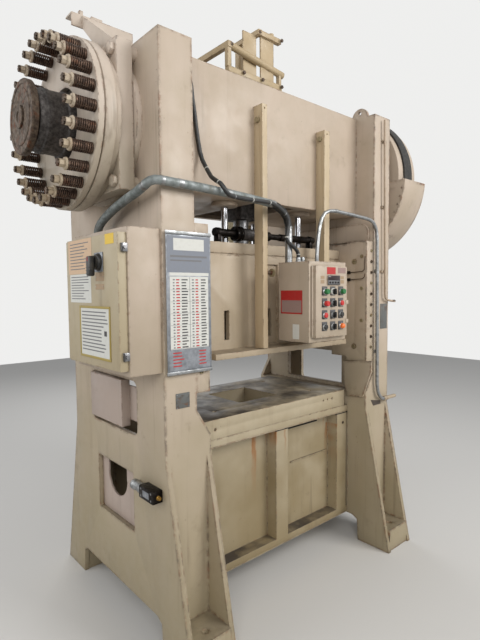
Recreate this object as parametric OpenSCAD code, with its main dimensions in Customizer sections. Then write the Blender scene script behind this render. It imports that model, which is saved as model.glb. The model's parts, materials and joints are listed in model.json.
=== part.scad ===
// Straight-side mechanical stamping press.
// Millimetres, +Z up, floor at Z = 0. Front faces -Y, the brake is at -X, the flywheel at +X.
// Inside the file, X runs from the left upright's outer face and Y from the uprights' front face.

/* [Frame] */
// Height of the uprights and the crown
frame_h = 2660; // [2500:10:2800]
// Width of one upright, seen from the front
col_w = 165; // [150:5:190]
// Depth of the uprights, front to back
col_d = 940; // [900:10:1000]
// Clear width between the uprights
clear_w = 1355; // [1300:5:1450]
// Thickness of the frame plates
wall = 25; // [20:1:30]
// Height where the legs start to flare
flare_z = 860; // [820:10:900]
// How far a foot reaches past the upright
flare = 174; // [140:2:200]
// Width of one leg, seen from the front
leg_w = 240; // [230:5:260]
// Height of the arch between the feet
arch_h = 150; // [130:5:170]
// Length of one foot along the floor
foot_l = 225; // [200:5:240]
// Height of a foot block
foot_h = 130; // [110:5:140]
// Anchor bolt hole diameter
anchor_d = 30; // [24:1:36]
// Setback of the crown, bolster and bed from the uprights' front
setback = 134; // [120:2:150]
// Underside of the crown
crown_z = 2057; // [2040:1:2070]

/* [Bed] */
// Top of the bolster plate
bolster_z = 962; // [940:1:980]
// Thickness of the bolster plate
bolster_t = 101; // [90:1:110]
// Width of the bolster plate
bolster_w = 1130; // [1050:10:1150]
// Thickness of the bed's top flange
flange_t = 37; // [30:1:45]
// Width of a pilaster on the bed's front
pilaster_w = 95; // [80:5:110]
// Depth of a pilaster
pilaster_d = 75; // [60:5:80]
// Thickness of the bed's bottom shelf
shelf_t = 40; // [30:1:50]
// Width of the drop hole in the bolster
drop_w = 300; // [200:10:400]

/* [Slide] */
// Stroke of the slide
stroke = 100; // [80:5:110]
// Underside of the slide at the top of its stroke
slide_z = 1264; // [1240:1:1280]
// Height of the slide
slide_h = 580; // [560:5:600]
// Setback of the slide's front face
slide_back = 205; // [195:1:215]
// Thickness of the slide's bottom flange
lip_t = 29; // [25:1:35]
// Width of the slots through the slide
slot_w = 33; // [28:1:38]
// Width of the slide's bottom flange
lip_w = 1015; // [950:5:1060]
// Setback of the flange's front edge
lip_back = 78; // [74:1:90]
// Thickness of the gibs, from the uprights inward
gib_t = 73; // [65:1:80]
// Running gap between the slide and the gibs
gib_gap = 1; // [0.5:0.1:2]
// Height of the gibs' lower end
gib_z = 1146; // [1130:1:1170]

/* [Crank] */
// Height of the crankshaft's axis
crank_z = 2337; // [2320:1:2350]
// Diameter of the crankshaft's main journals
journal_d = 130; // [110:5:140]
// Diameter of the crankpin
pin_d = 180; // [170:5:200]
// Length of the crankpin
pin_l = 150; // [120:5:180]
// Running clearance of shafts in their bushings
run = 0.05; // [0.03:0.01:0.09]
// Wall of the bushings
bush_t = 15; // [10:1:20]
// Diameter of the adjusting screw
screw_d = 90; // [70:5:100]

/* [Brake] */
// Side of the square brake plate
plate_s = 620; // [600:10:640]
// Thickness of the brake plate
plate_t = 70; // [60:5:80]
// Length of the spacers behind the brake plate
spacer_l = 30; // [25:1:35]
// Radius of the brake drum
drum_r = 367; // [355:1:375]
// Radius of the circle that the springs stand on
spring_ring_r = 335; // [325:1:340]
// Number of brake springs
spring_n = 26; // [20:2:28]
// Outer diameter of one brake spring
spring_d = 50; // [40:1:54]
// Length of one brake spring as fitted
spring_l = 88; // [80:1:95]
// Travel of the pressure ring when the brake is released
release = 2; // [1:0.5:3]
// Radius of the brake hub
hub_r = 140; // [120:5:150]
// Radius of the disc on the shaft's end
end_r = 155; // [145:5:165]

/* [Flywheel] */
// Radius of the flywheel
fly_r = 464; // [440:2:480]
// Width of the flywheel
fly_w = 200; // [180:5:220]
// Distance from the upright to the flywheel
fly_gap = 120; // [110:5:140]
// Radius of the sheet guard
guard_r = 520; // [505:5:540]
// Thickness of the guard's sheet
sheet_t = 4; // [3:0.5:6]
// Thickness of the drive belt
belt_t = 12; // [10:1:14]
// Radius of the motor's sheave
sheave_r = 110; // [100:5:120]

/* [Electrical] */
// Width of the control cabinet, front to back
cab_w = 510; // [480:5:540]
// Height of the control cabinet
cab_h = 600; // [570:5:620]
// Depth of the control cabinet's box
cab_d = 150; // [130:5:170]
// Underside of the control cabinet
cab_z = 1254; // [1230:2:1280]
// Width of the operator panel
panel_w = 297; // [282:5:312]
// Height of the operator panel
panel_h = 410; // [400:5:430]
// Depth of the operator panel
panel_d = 233; // [220:1:245]
// Underside of the operator panel
panel_z = 1330; // [1320:1:1340]
// Column spacing of the operators
op_dx = 66; // [60:1:70]
// Row spacing of the operators
op_dz = 60; // [57:1:65]
// Outer diameter of the thin conduit
tube_d = 22; // [18:1:26]
// Outer diameter of the main conduit
conduit_d = 40; // [34:1:44]

/* [Hidden] */

// Colours
cream = [0.72, 0.64, 0.56];
olive = [0.60, 0.54, 0.42];
steel = [0.62, 0.62, 0.64];
dark = [0.16, 0.15, 0.15];
rust = [0.33, 0.24, 0.17];
grey = [0.45, 0.46, 0.46];
red = [0.75, 0.12, 0.14];

// Overall places
right_x = col_w + clear_w;              // inner face of the right upright
total_w = right_x + col_w;              // outer face of the right upright
mid_x = total_w / 2;
mid_y = col_d / 2;
eps = 1;
seat = 0.3;                             // gap of pieces that rest close together

// Crank
throw_r = stroke / 2;
bore_d = journal_d + 2 * (bush_t + run);
bar_front = 72;                         // front of the knockout bars
bar_w = [34, 46];                       // widths of the two bars

// Brake, from the left upright outwards
plate_x1 = -spacer_l;
plate_x0 = plate_x1 - plate_t;
drum_x0 = plate_x0 - 78;
lining_t = 6;
ring_x1 = drum_x0 - lining_t - 1;
ring_t = 26;
ring_x0 = ring_x1 - ring_t;
nut_x1 = ring_x0 - spring_l;
cup_t = 8;
nut_l = 30;
stud_tip = nut_x1 - cup_t - nut_l - 10;
stud_d = 16;
hub_x0 = -350;
hub_x1 = ring_x0 - 1;
end_x0 = hub_x0 - 42;
shaft_x0 = end_x0 + 12;

// Flywheel
fly_x0 = total_w + fly_gap;
fly_x1 = fly_x0 + fly_w;
fly_pin_r = 50;
guard_x0 = fly_x0 - 15;
guard_x1 = fly_x1 + 40;
motor_y = col_d + 330;
motor_z = crank_z - 250;

// Slide
slide_x0 = col_w + gib_t + gib_gap;
slide_x1 = right_x - gib_t - gib_gap;
slide_w = slide_x1 - slide_x0;
slide_y0 = slide_back;
slide_y1 = col_d - slide_back;
slide_top = slide_z + slide_h;
lip_x0 = mid_x - lip_w / 2;

// Control cabinet, hung on the left upright
cab_x1 = 0;
cab_x0 = -cab_d;
door_t = 38;
door_in = 24;                           // the door is that much lower than the box
cab_y0 = 12;
cab_y1 = cab_y0 + cab_w;

// Operator panel, in front of the slide
panel_x0 = 766;
panel_y1 = bar_front + 11;
panel_y0 = panel_y1 - panel_d;
pdoor_t = 22.6;
panel_rim = 26;                         // the door is that much smaller than the box
op_x0 = panel_x0 + 93;
op_z0 = panel_z + 257;
op_r = 14;

module box(x0, x1, y0, y1, z0, z1) {
    translate([x0, y0, z0]) cube([x1 - x0, y1 - y0, z1 - z0]);
}
module xcyl(x0, x1, y, z, r) {
    translate([x0, y, z]) rotate([0, 90, 0]) cylinder(h = x1 - x0, r = r, $fn = 64);
}
module ycyl(x, y0, y1, z, r) {
    translate([x, y1, z]) rotate([90, 0, 0]) cylinder(h = y1 - y0, r = r, $fn = 48);
}
module zcyl(x, y, z0, z1, r) {
    translate([x, y, z0]) cylinder(h = z1 - z0, r = r, $fn = 48);
}
// Extrudes an outline drawn in Y and Z along X
module side(x0, x1) {
    translate([x0, 0, 0]) rotate([90, 0, 90]) linear_extrude(x1 - x0) children();
}
// Extrudes an outline drawn in X and Z along Y
module front(y0, y1) {
    translate([0, y1, 0]) rotate([90, 0, 0]) linear_extrude(y1 - y0) children();
}
// Hexagonal bar along X, across flats af
module xhex(x0, x1, y, z, af) {
    translate([x0, y, z]) rotate([0, 90, 0]) cylinder(h = x1 - x0, d = af / cos(30), $fn = 6);
}
module yhex(x, y0, y1, z, af) {
    translate([x, y1, z]) rotate([90, 0, 0]) cylinder(h = y1 - y0, d = af / cos(30), $fn = 6);
}
module rounded(y0, y1, z0, z1, r) {
    translate([y0 + r, z0]) square([y1 - y0 - 2 * r, z1 - z0]);
    translate([y0, z0 + r]) square([y1 - y0, z1 - z0 - 2 * r]);
    for (y = [y0 + r, y1 - r], z = [z0 + r, z1 - r]) translate([y, z]) circle(r, $fn = 32);
}
// A tube swept along points; its rings are turned alike about the direction across
module swept(pts, r, sides = 12, across = [0, 1, 0]) {
    n = len(pts);
    dir = [for (i = [0 : n - 1]) let (t = pts[min(i + 1, n - 1)] - pts[max(i - 1, 0)]) t / norm(t)];
    one = [for (d = dir) let (v = across - d * (across * d)) v / norm(v)];
    two = [for (i = [0 : n - 1]) cross(dir[i], one[i])];
    ring = [for (i = [0 : n - 1], k = [0 : sides - 1]) pts[i]
        + r * (cos(k * 360 / sides) * one[i] + sin(k * 360 / sides) * two[i])];
    polyhedron(ring, concat([[for (k = [0 : sides - 1]) k]],
        [for (i = [0 : n - 2], k = [0 : sides - 1]) [i * sides + k, (i + 1) * sides + k,
            (i + 1) * sides + (k + 1) % sides, i * sides + (k + 1) % sides]],
        [[for (k = [0 : sides - 1]) n * sides - 1 - k]]));
}

// Uprights. The outline of a side plate, with flared feet and an arch
foot_y0 = -flare;
foot_y1 = col_d + flare;
module plate_outline(top) {
    polygon([[0, top], [0, flare_z], [foot_y0, 0], [foot_y0 + foot_l, 0],
        [foot_y0 + foot_l + 8, arch_h - 20], [foot_y0 + foot_l + 45, arch_h],
        [foot_y1 - foot_l - 45, arch_h], [foot_y1 - foot_l - 8, arch_h - 20],
        [foot_y1 - foot_l, 0], [foot_y1, 0], [col_d, flare_z], [col_d, top]]);
}
window_y0 = 240;
window_y1 = 720;
window_z0 = 930;
window_z1 = 1185;
low_y0 = 290;
low_y1 = 665;
low_z0 = 462;
low_z1 = 745;
step_z1 = 1070;                          // where the front starts to widen to the leg
step_z0 = 950;
module left_frame() {
    difference() {
        side(0, wall) difference() {
            plate_outline(frame_h);
            rounded(window_y0, window_y1, window_z0, window_z1, 35);
            rounded(low_y0, low_y1, low_z0, low_z1, 12);
        }
        xcyl(-eps, wall + eps, mid_y, crank_z, bore_d / 2);
    }
    // Inner plate of the column, with its window above the bolster
    difference() {
        box(col_w - wall, col_w, wall, col_d - wall, step_z0, frame_h);
        xcyl(col_w - wall - eps, col_w + eps, mid_y, crank_z, bore_d / 2);
        box(col_w - wall - eps, col_w + eps, window_y0, window_y1, bolster_z + 12, window_z1);
    }
    // Bearing boss between the plates
    difference() {
        xcyl(wall, col_w - wall, mid_y, crank_z, bore_d / 2 + 30);
        xcyl(wall - eps, col_w - wall + eps, mid_y, crank_z, bore_d / 2);
    }
    // Front and rear plates
    for (y = [0, col_d - wall]) front(y, y + wall)
        polygon([[wall, frame_h], [col_w, frame_h], [col_w, step_z1], [leg_w, step_z0],
            [leg_w, flare_z], [leg_w - wall, flare_z], [leg_w - wall, foot_h], [wall, foot_h]]);
    // Inner plate of the leg, and the plate that closes the leg's top
    side(leg_w - wall, leg_w) plate_outline(step_z0);
    box(col_w - wall, leg_w - wall, wall, col_d - wall, step_z0 - wall, step_z0);
    // Top plate
    box(wall, col_w - wall, wall, col_d - wall, frame_h - wall, frame_h);
    // Foot blocks with anchor holes
    for (s = [0, 1]) translate([0, s * col_d, 0]) mirror([0, s, 0]) difference() {
        box(wall, leg_w - wall, foot_y0 + 10, foot_y0 + foot_l - 5, 0, foot_h);
        zcyl(leg_w / 2, foot_y0 + 70, -eps, foot_h + eps, anchor_d / 2);
    }
    // Lifting lug on the inner edge of the top
    difference() {
        side(col_w - 18, col_w) intersection() {
            translate([110, frame_h]) circle(58, $fn = 48);
            translate([40, frame_h - wall / 2]) square([140, 60 + wall / 2]);
        }
        xcyl(col_w - 30, col_w + eps, 110, frame_h + 30, 11);
    }
}
module left_upright() { color(cream) left_frame(); }
module right_upright() {
    color(cream) translate([total_w, 0, 0]) mirror([1, 0, 0]) left_frame();
}

crown_y0 = setback;
crown_y1 = col_d - setback;
module crown() {
    color(cream) {
        box(col_w, right_x, crown_y0, crown_y0 + wall, crown_z, frame_h);
        box(col_w, right_x, crown_y1 - wall, crown_y1, crown_z, frame_h);
        box(col_w, right_x, crown_y0 + wall, crown_y1 - wall, frame_h - wall, frame_h);
        // Bottom plate with an opening for the pitman, and the guide collars
        difference() {
            box(col_w, right_x, crown_y0 + wall, crown_y1 - wall, crown_z, crown_z + wall);
            box(mid_x - pin_l, mid_x + pin_l, crown_y0 + wall + 20, crown_y1 - wall - 20,
                crown_z - eps, crown_z + wall + eps);
            for (p = balance_at) zcyl(p.x, p.y, crown_z - eps, crown_z + wall + eps, balance_r);
        }
        // Inner bearing walls
        for (x = crank_wall_x) difference() {
            box(x, x + wall, crown_y0 + wall, crown_y1 - wall, crown_z + wall, frame_h - wall);
            xcyl(x - eps, x + wall + eps, mid_y, crank_z, bore_d / 2);
        }
    }
}
crank_wall_x = [mid_x - pin_l / 2 - 130, mid_x + pin_l / 2 + 130 - wall];

bed_x0 = leg_w;
bed_x1 = total_w - leg_w;
bed_y0 = setback;
bed_y1 = col_d - setback;
bed_top = bolster_z - bolster_t;
bed_z = arch_h + 10;
panel_in = bed_y0 + pilaster_d;
shelf_top = bed_z + shelf_t;
pilaster_x = [bed_x0 + 14, mid_x - pilaster_w / 2, bed_x1 - 14 - pilaster_w];
module bed() {
    color(olive) {
        // Front and rear webs
        for (y = [panel_in, col_d - panel_in - wall])
            box(bed_x0, bed_x1, y, y + wall, shelf_top, bed_top - flange_t);
        // Bottom shelf with a clear-out opening
        difference() {
            box(bed_x0, bed_x1, bed_y0, bed_y1, bed_z, shelf_top);
            box(mid_x - drop_w, mid_x + drop_w, panel_in + 60, col_d - panel_in - 60,
                bed_z - eps, shelf_top + eps);
        }
        // Top flange with the drop hole
        difference() {
            box(bed_x0, bed_x1, bed_y0, bed_y1, bed_top - flange_t, bed_top);
            box(mid_x - drop_w / 2, mid_x + drop_w / 2, mid_y - drop_w / 2, mid_y + drop_w / 2,
                bed_top - flange_t - eps, bed_top + eps);
        }
        for (x = pilaster_x) {
            box(x, x + pilaster_w, bed_y0, panel_in, shelf_top, bed_top - flange_t);
            box(x, x + pilaster_w, col_d - panel_in, bed_y1, shelf_top, bed_top - flange_t);
        }
        // Cross ribs
        for (x = [mid_x - drop_w / 2 - wall, mid_x + drop_w / 2])
            box(x, x + wall, panel_in + wall, col_d - panel_in - wall, shelf_top + 120,
                bed_top - flange_t);
    }
}

// Tapped holes for a die, at the corners of a rectangle
tap_dx = 760;
tap_dy = 420;
tap_d = 24;
module bolster() {
    color(olive) difference() {
        box(mid_x - bolster_w / 2, mid_x + bolster_w / 2, bed_y0, bed_y1, bed_top, bolster_z);
        box(mid_x - drop_w / 2, mid_x + drop_w / 2, mid_y - drop_w / 2, mid_y + drop_w / 2,
            bed_top - eps, bolster_z + eps);
        for (x = [-1, 1], y = [-1, 1])
            zcyl(mid_x + x * tap_dx / 2, mid_y + y * tap_dy / 2, bolster_z - 60, bolster_z + eps,
                tap_d / 2);
        // Handling holes in the front edge
        ycyl(mid_x - 473, bed_y0 - eps, bed_y0 + 30, bolster_z - 50, 7);
        for (x = [360, 398, 442]) ycyl(mid_x + x, bed_y0 - eps, bed_y0 + 30, bolster_z - 38, 5);
    }
}

// Gibs at the four corners of the slide
gib_d = 150;
gib_top = 1890;
module gib_corner() {
    difference() {
        box(col_w, col_w + gib_t, 0, gib_d, gib_z, gib_top);
        for (z = gib_bolt_z) xcyl(col_w - eps, col_w + gib_t + eps, gib_big_y, z, 10.2);
        for (z = gib_small_z) ycyl(col_w + 26, -eps, 20, z, 5.2);
    }
    // Guide strip that the slide runs against
    box(col_w, col_w + gib_t, gib_d, slide_y0 + 60, gib_z + 26, gib_top - 10);
}
gib_big_y = 90;
gib_bolt_z = [1239, 1768];
gib_small_z = [for (i = [0 : 9]) 1238 + 66 * i];
module corners() {
    for (m = [0, 1], n = [0, 1])
        translate([m * total_w, n * col_d, 0]) mirror([m, 0, 0]) mirror([0, n, 0]) children();
}
module gibs() { color(cream) corners() gib_corner(); }
module frame_bolts() {
    color(olive) {
        corners() {
            for (z = gib_bolt_z) {
                xcyl(col_w, col_w + gib_t, gib_big_y, z, 10);
                xcyl(col_w + gib_t, col_w + gib_t + 0.6, gib_big_y, z, 17);
            }
            for (z = gib_small_z) {
                ycyl(col_w + 26, 0, 20, z, 5);
                ycyl(col_w + 26, -7, 0, z, 9);
            }
        }
        // Side bolts and the adjusting bolt of the knockout bars
        for (x = bar_x) {
            xhex(x - 14, x, bar_front + 30, side_bolt_z, 24);
            xcyl(x, x + 12, bar_front + 30, side_bolt_z, 7);
        }
        xcyl(stud_x, stud_x + 75, bar_front + 30, 1688, 9);
        xhex(stud_x, stud_x + 14, bar_front + 30, 1688, 28);
        xcyl(stud_x + 55, stud_x + 65, bar_front + 30, 1688, 22);
    }
}

bar_x = [642, 1130];
stud_x = bar_x[0] + bar_w[0];
side_bolt_z = 2455;
bar_top = [2530, 2500];
bar_end = slide_z + lip_t + 3;
module knockout_bars() {
    color(cream) for (i = [0, 1]) difference() {
        box(bar_x[i], bar_x[i] + bar_w[i], bar_front, setback, bar_end, bar_top[i]);
        xcyl(bar_x[i] - eps, bar_x[i] + 12, bar_front + 30, side_bolt_z, 7.2);
        ycyl(bar_x[i] + bar_w[i] / 2, bar_front - eps, bar_front + 15, bar_top[i] - 20, 5);
    }
}

bush_out = bore_d / 2 - 0.02;
bush_x = [[0, col_w], [crank_wall_x[0], crank_wall_x[0] + wall],
    [crank_wall_x[1], crank_wall_x[1] + wall], [right_x, total_w]];
module main_bushings() {
    color([0.70, 0.52, 0.25]) for (b = bush_x) difference() {
        xcyl(b[0], b[1], mid_y, crank_z, bush_out);
        xcyl(b[0] - eps, b[1] + eps, mid_y, crank_z, journal_d / 2 + run);
    }
}

web_t = 60;
module crankshaft() {
    color(steel) {
        xcyl(hub_x0 + 2, mid_x - pin_l / 2 - web_t, mid_y, crank_z, journal_d / 2);
        xcyl(mid_x + pin_l / 2 + web_t, fly_x0 - 5, mid_y, crank_z, journal_d / 2);
        xcyl(fly_x0 - 5, fly_x1 + 25, mid_y, crank_z, fly_pin_r);
        for (x = [mid_x - pin_l / 2 - web_t, mid_x + pin_l / 2])
            side(x, x + web_t) {
                translate([mid_y, crank_z]) circle(pin_d / 2 + 20, $fn = 64);
                translate([mid_y, crank_z + throw_r]) circle(pin_d / 2 + 20, $fn = 64);
            }
        xcyl(mid_x - pin_l / 2, mid_x + pin_l / 2, mid_y, crank_z + throw_r, pin_d / 2);
    }
}

// Pitman: upright link on the crankpin, its lower end is free inside the slide
pitman_w = pin_l - 4;
pitman_z = crank_z + throw_r;
module pitman() {
    color(grey) difference() {
        union() {
            xcyl(mid_x - pitman_w / 2, mid_x + pitman_w / 2, mid_y, pitman_z, pin_d / 2 + 40);
            box(mid_x - 60, mid_x + 60, mid_y - 70, mid_y + 70, crown_z - 50, pitman_z);
        }
        xcyl(mid_x - pitman_w, mid_x + pitman_w, mid_y, pitman_z, pin_d / 2 + run);
        zcyl(mid_x, mid_y, crown_z - 50 - eps, crown_z + 40, screw_d / 2 + 0.2);
    }
}
ball_z = slide_z + 330;                 // centre of the screw's ball, inside the slide
module adjusting_screw() {
    color(steel) {
        zcyl(mid_x, mid_y, ball_z, crown_z + 38, screw_d / 2);
        translate([mid_x, mid_y, ball_z]) sphere(r = screw_d / 2 + 20, $fn = 48);
    }
}

// Slide: a hollow box with a flange, open at the top for the pitman
slide_wall = 30;
top_hole_y = pin_d / 2 + throw_r + 40;
slot_x = [mid_x - 334, mid_x - 16, mid_x + 334];
slot_z = [slide_z + 77, slide_z + 229];
module slide() {
    color(cream) {
        difference() {
            box(slide_x0, slide_x1, slide_y0, slide_y1, slide_z, slide_top);
            box(slide_x0 + slide_wall, slide_x1 - slide_wall, slide_y0 + slide_wall,
                slide_y1 - slide_wall, slide_z + 60, slide_top - slide_wall);
            box(mid_x - pin_l, mid_x + pin_l, mid_y - top_hole_y, mid_y + top_hole_y,
                slide_top - slide_wall - eps, slide_top + eps);
            // Slots for the knockout beams, front to back
            for (x = slot_x) box(x - slot_w / 2, x + slot_w / 2, slide_y0 - eps, slide_y1 + eps,
                slot_z[0], slot_z[1]);
            // Shallow channel down the middle of the front
            box(mid_x - 43, mid_x + 41, slide_y0 - eps, slide_y0 + 12, slide_z + 37, slide_z + 474);
            // Groove across the front, below the top band
            box(slide_x0 - eps, slide_x1 + eps, slide_y0 - eps, slide_y0 + 6, slide_top - 66,
                slide_top - 56);
        }
        // Bottom flange, front and rear
        box(lip_x0, lip_x0 + lip_w, lip_back, slide_y0, slide_z, slide_z + lip_t);
        box(lip_x0, lip_x0 + lip_w, slide_y1, col_d - lip_back, slide_z, slide_z + lip_t);
    }
}

// Plates with a rounded corner on the uprights' inner faces, above the gibs
gplate_z = gib_top + 5;
gplate_h = 110;
gplate_r = 55;
module gib_plates() {
    color(cream) for (m = [0, 1]) translate([m * total_w, 0, 0]) mirror([m, 0, 0])
        side(col_w, col_w + 18) polygon(concat([[590, gplate_z + gplate_h], [590, gplate_z],
            [30, gplate_z]], [for (a = [0 : 9 : 90]) [30 + gplate_r * (1 - cos(a)),
            gplate_z + gplate_h - gplate_r * (1 - sin(a))]]));
}

adj_y = slide_back + 23;
adj_z = slide_top + 50;
module adjust_shaft() {
    color(dark) {
        xcyl(450, 760, adj_y, adj_z, 20);
        xcyl(582, 626, adj_y, adj_z, 38);
        xcyl(626, 735, adj_y, adj_z, 32);
        xcyl(760, 920, adj_y, adj_z, 16);
        xcyl(760, 835, adj_y, adj_z, 26);
        xcyl(920, 1210, adj_y, adj_z, 20);
        for (x = [460, 735, 1165]) box(x, x + 24, slide_back + 4, adj_y + 18, slide_top, adj_z);
    }
}

// Counterbalance cylinders hang in the crown, their rods stand on the slide
balance_r = 50;
balance_rod = 18;
balance_in = 40;
balance_y = slide_y0 + 69;
balance_at = [for (x = [-286, 286], y = [balance_y, col_d - balance_y]) [mid_x + x, y]];
module counterbalance_cylinders() {
    color(cream) for (p = balance_at) difference() {
        union() {
            zcyl(p.x, p.y, crown_z - 22, crown_z + 235, balance_r - 0.05);
            zcyl(p.x, p.y, crown_z - 22, crown_z, balance_r + 20);
        }
        zcyl(p.x, p.y, crown_z, crown_z + 225, balance_in);
        zcyl(p.x, p.y, crown_z - 23, crown_z + eps, balance_rod + 0.05);
    }
}
module counterbalance_rods() {
    color(steel) for (p = balance_at) {
        zcyl(p.x, p.y, slide_top, crown_z + 210, balance_rod);
        zcyl(p.x, p.y, crown_z + 190, crown_z + 214, balance_in - 0.05);
    }
}

// Brake
bolt_c = 272;
module corners4() {
    for (y = [-1, 1], z = [-1, 1]) translate([0, mid_y + y * bolt_c, crank_z + z * bolt_c])
        children();
}
module brake_plate() {
    color(cream) {
        difference() {
            union() {
                box(plate_x0, plate_x1, mid_y - plate_s / 2, mid_y + plate_s / 2,
                    crank_z - plate_s / 2, crank_z + plate_s / 2);
                corners4() xcyl(plate_x1, 0, 0, 0, 29);
                xcyl(plate_x1 + 6, 0, mid_y, crank_z, 334);
            }
            corners4() xcyl(plate_x0 - eps, eps, 0, 0, 15.2);
            xcyl(plate_x0 - eps, eps, mid_y, crank_z, bore_d / 2);
        }
        // Neck between the bearing flange and the plate
        difference() {
            xcyl(plate_x1, plate_x1 + 6, mid_y, crank_z, 150);
            xcyl(plate_x1 - eps, plate_x1 + 7, mid_y, crank_z, bore_d / 2);
        }
    }
}
module brake_bolts() {
    color(cream) corners4() {
        xcyl(plate_x0, 0, 0, 0, 15);
        xhex(plate_x0 - 20, plate_x0, 0, 0, 46);
    }
}
// Turns an outline of radius and height about the crank's axis, height along -X from x
module turned(x) {
    translate([x, mid_y, crank_z]) rotate([0, -90, 0]) rotate_extrude($fn = 96) children();
}
module brake_housing() {
    color(cream) turned(plate_x0) polygon([[150, 0], [346, 0], [350, 22], [drum_r - 2, 30],
        [drum_r, 34], [drum_r, 78], [150, 78]]);
}
disc_gap = 0.5;
module friction_disc() {
    color(rust) difference() {
        xcyl(ring_x1 + disc_gap, drum_x0 - disc_gap, mid_y, crank_z, spring_ring_r - 18);
        xcyl(ring_x1, drum_x0, mid_y, crank_z, hub_r + 0.02);
    }
}
spring_at = [for (i = [0 : spring_n - 1]) let (a = i * 360 / spring_n - 40.3)
    [mid_y - spring_ring_r * cos(a), crank_z - spring_ring_r * sin(a)]];
module pressure_ring() {
    color(cream) difference() {
        xcyl(ring_x0, ring_x1, mid_y, crank_z, drum_r);
        xcyl(ring_x0 - eps, ring_x1 + eps, mid_y, crank_z, hub_r + 20);
        for (p = spring_at) xcyl(ring_x0 - eps, ring_x1 + eps, p[0], p[1], stud_d / 2 + 0.5);
    }
}
module brake_springs() {
    color(dark) for (p = spring_at) difference() {
        xcyl(nut_x1 + release + 0.3, ring_x0, p[0], p[1], spring_d / 2);
        xcyl(nut_x1, ring_x0 + eps, p[0], p[1], spring_d / 2 - 9);
    }
}
module spring_studs() {
    color(olive) for (p = spring_at) {
        xcyl(stud_tip, drum_x0, p[0], p[1], stud_d / 2);
        xcyl(nut_x1 - cup_t, nut_x1, p[0], p[1], spring_d / 2 + 1);
        xhex(nut_x1 - cup_t - nut_l, nut_x1 - cup_t, p[0], p[1], 30);
    }
}
module brake_hub() {
    color(grey) turned(0) polygon([[journal_d / 2 + 0.02, -drum_x0 + disc_gap],
        [hub_r, -drum_x0 + disc_gap], [hub_r, 230], [hub_r - 6, 236], [hub_r - 6, -hub_x0 - 8],
        [hub_r - 14, -hub_x0], [journal_d / 2 + 0.02, -hub_x0]]);
}
module end_disc() {
    color(rust) turned(0) polygon([[0, -hub_x0], [100, -hub_x0], [100, -hub_x0 + 12],
        [end_r - 4, -hub_x0 + 12], [end_r, -hub_x0 + 16], [end_r, -end_x0 - 4],
        [end_r - 4, -end_x0], [48, -end_x0], [48, -end_x0 + 10], [0, -end_x0 + 10]]);
}

// Flywheel, free on the crankshaft's end
fly_bear = 25;
module flywheel_bearing() {
    color([0.70, 0.52, 0.25]) difference() {
        xcyl(fly_x0, fly_x1, mid_y, crank_z, fly_pin_r + fly_bear);
        xcyl(fly_x0 - eps, fly_x1 + eps, mid_y, crank_z, fly_pin_r + run);
    }
}
module flywheel() {
    color(cream) translate([fly_x0, mid_y, crank_z]) rotate([0, 90, 0])
        rotate_extrude($fn = 128) polygon([[fly_pin_r + fly_bear + 0.02, 0], [130, 0], [130, 60],
            [fly_r - 70, 60], [fly_r - 70, 0], [fly_r, 0], [fly_r, fly_w], [fly_r - 70, fly_w],
            [fly_r - 70, fly_w - 60], [130, fly_w - 60], [130, fly_w],
            [fly_pin_r + fly_bear + 0.02, fly_w]]);
}
guard_top = crank_z - 34;
module sector(r) {
    intersection() {
        translate([mid_y, crank_z]) circle(r, $fn = 128);
        translate([mid_y - guard_r - 1, crank_z - guard_r - 1])
            square([guard_r + 1, guard_r - 33]);
    }
}
module flywheel_guard() {
    color(cream) {
        side(guard_x0, guard_x1) difference() {
            sector(guard_r);
            translate([mid_y, crank_z]) circle(guard_r - sheet_t, $fn = 128);
        }
        for (x = [guard_x0, guard_x1 - sheet_t]) side(x, x + sheet_t) difference() {
            sector(guard_r - sheet_t / 2);
            translate([mid_y, crank_z]) circle(115, $fn = 64);
        }
        // Arms that carry the guard
        for (z = [crank_z - 90, crank_z - 380]) box(total_w, guard_x0, 60, 140, z, z + 8);
        box(total_w, guard_x0, 330, 410, crank_z - 450, crank_z - 442);
    }
}
belt_w = 90;
belt_x0 = fly_x0 + (fly_w - belt_w) / 2;
module motor() {
    color(olive) {
        xcyl(belt_x0 - 420, belt_x0 - 60, motor_y, motor_z, 125);
        xcyl(belt_x0 - 60, belt_x0 - 40, motor_y, motor_z, 90);
        box(belt_x0 - 380, belt_x0 - 110, motor_y - 110, motor_y + 110, motor_z - 150,
            motor_z - 100);
        box(belt_x0 - 320, belt_x0 - 200, motor_y - 60, motor_y + 60, motor_z + 100,
            motor_z + 170);
    }
}
module motor_sheave() {
    color(grey) {
        xcyl(belt_x0 - 4, belt_x0 + belt_w + 4, motor_y, motor_z, sheave_r);
        xcyl(belt_x0 - 39.5, belt_x0 - 4, motor_y, motor_z, 30);
    }
}
module loop(grow) {
    hull() {
        translate([mid_y, crank_z]) circle(fly_r + 0.4 + grow, $fn = 128);
        translate([motor_y, motor_z]) circle(sheave_r + 0.4 + grow, $fn = 64);
    }
}
module drive_belt() {
    color(dark) side(belt_x0, belt_x0 + belt_w) difference() {
        loop(belt_t);
        loop(0);
    }
}
module motor_bracket() {
    color(cream) {
        box(right_x, total_w, col_d, col_d + 20, motor_z - 300, motor_z - 50);
        box(belt_x0 - 400, total_w, col_d + 20, motor_y + 140, motor_z - 170, motor_z - 150);
        for (x = [right_x + 10, total_w - 24]) side(x, x + 14) polygon([[col_d + 20,
            motor_z - 170], [motor_y + 100, motor_z - 170], [col_d + 20, motor_z - 300]]);
    }
}

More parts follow.
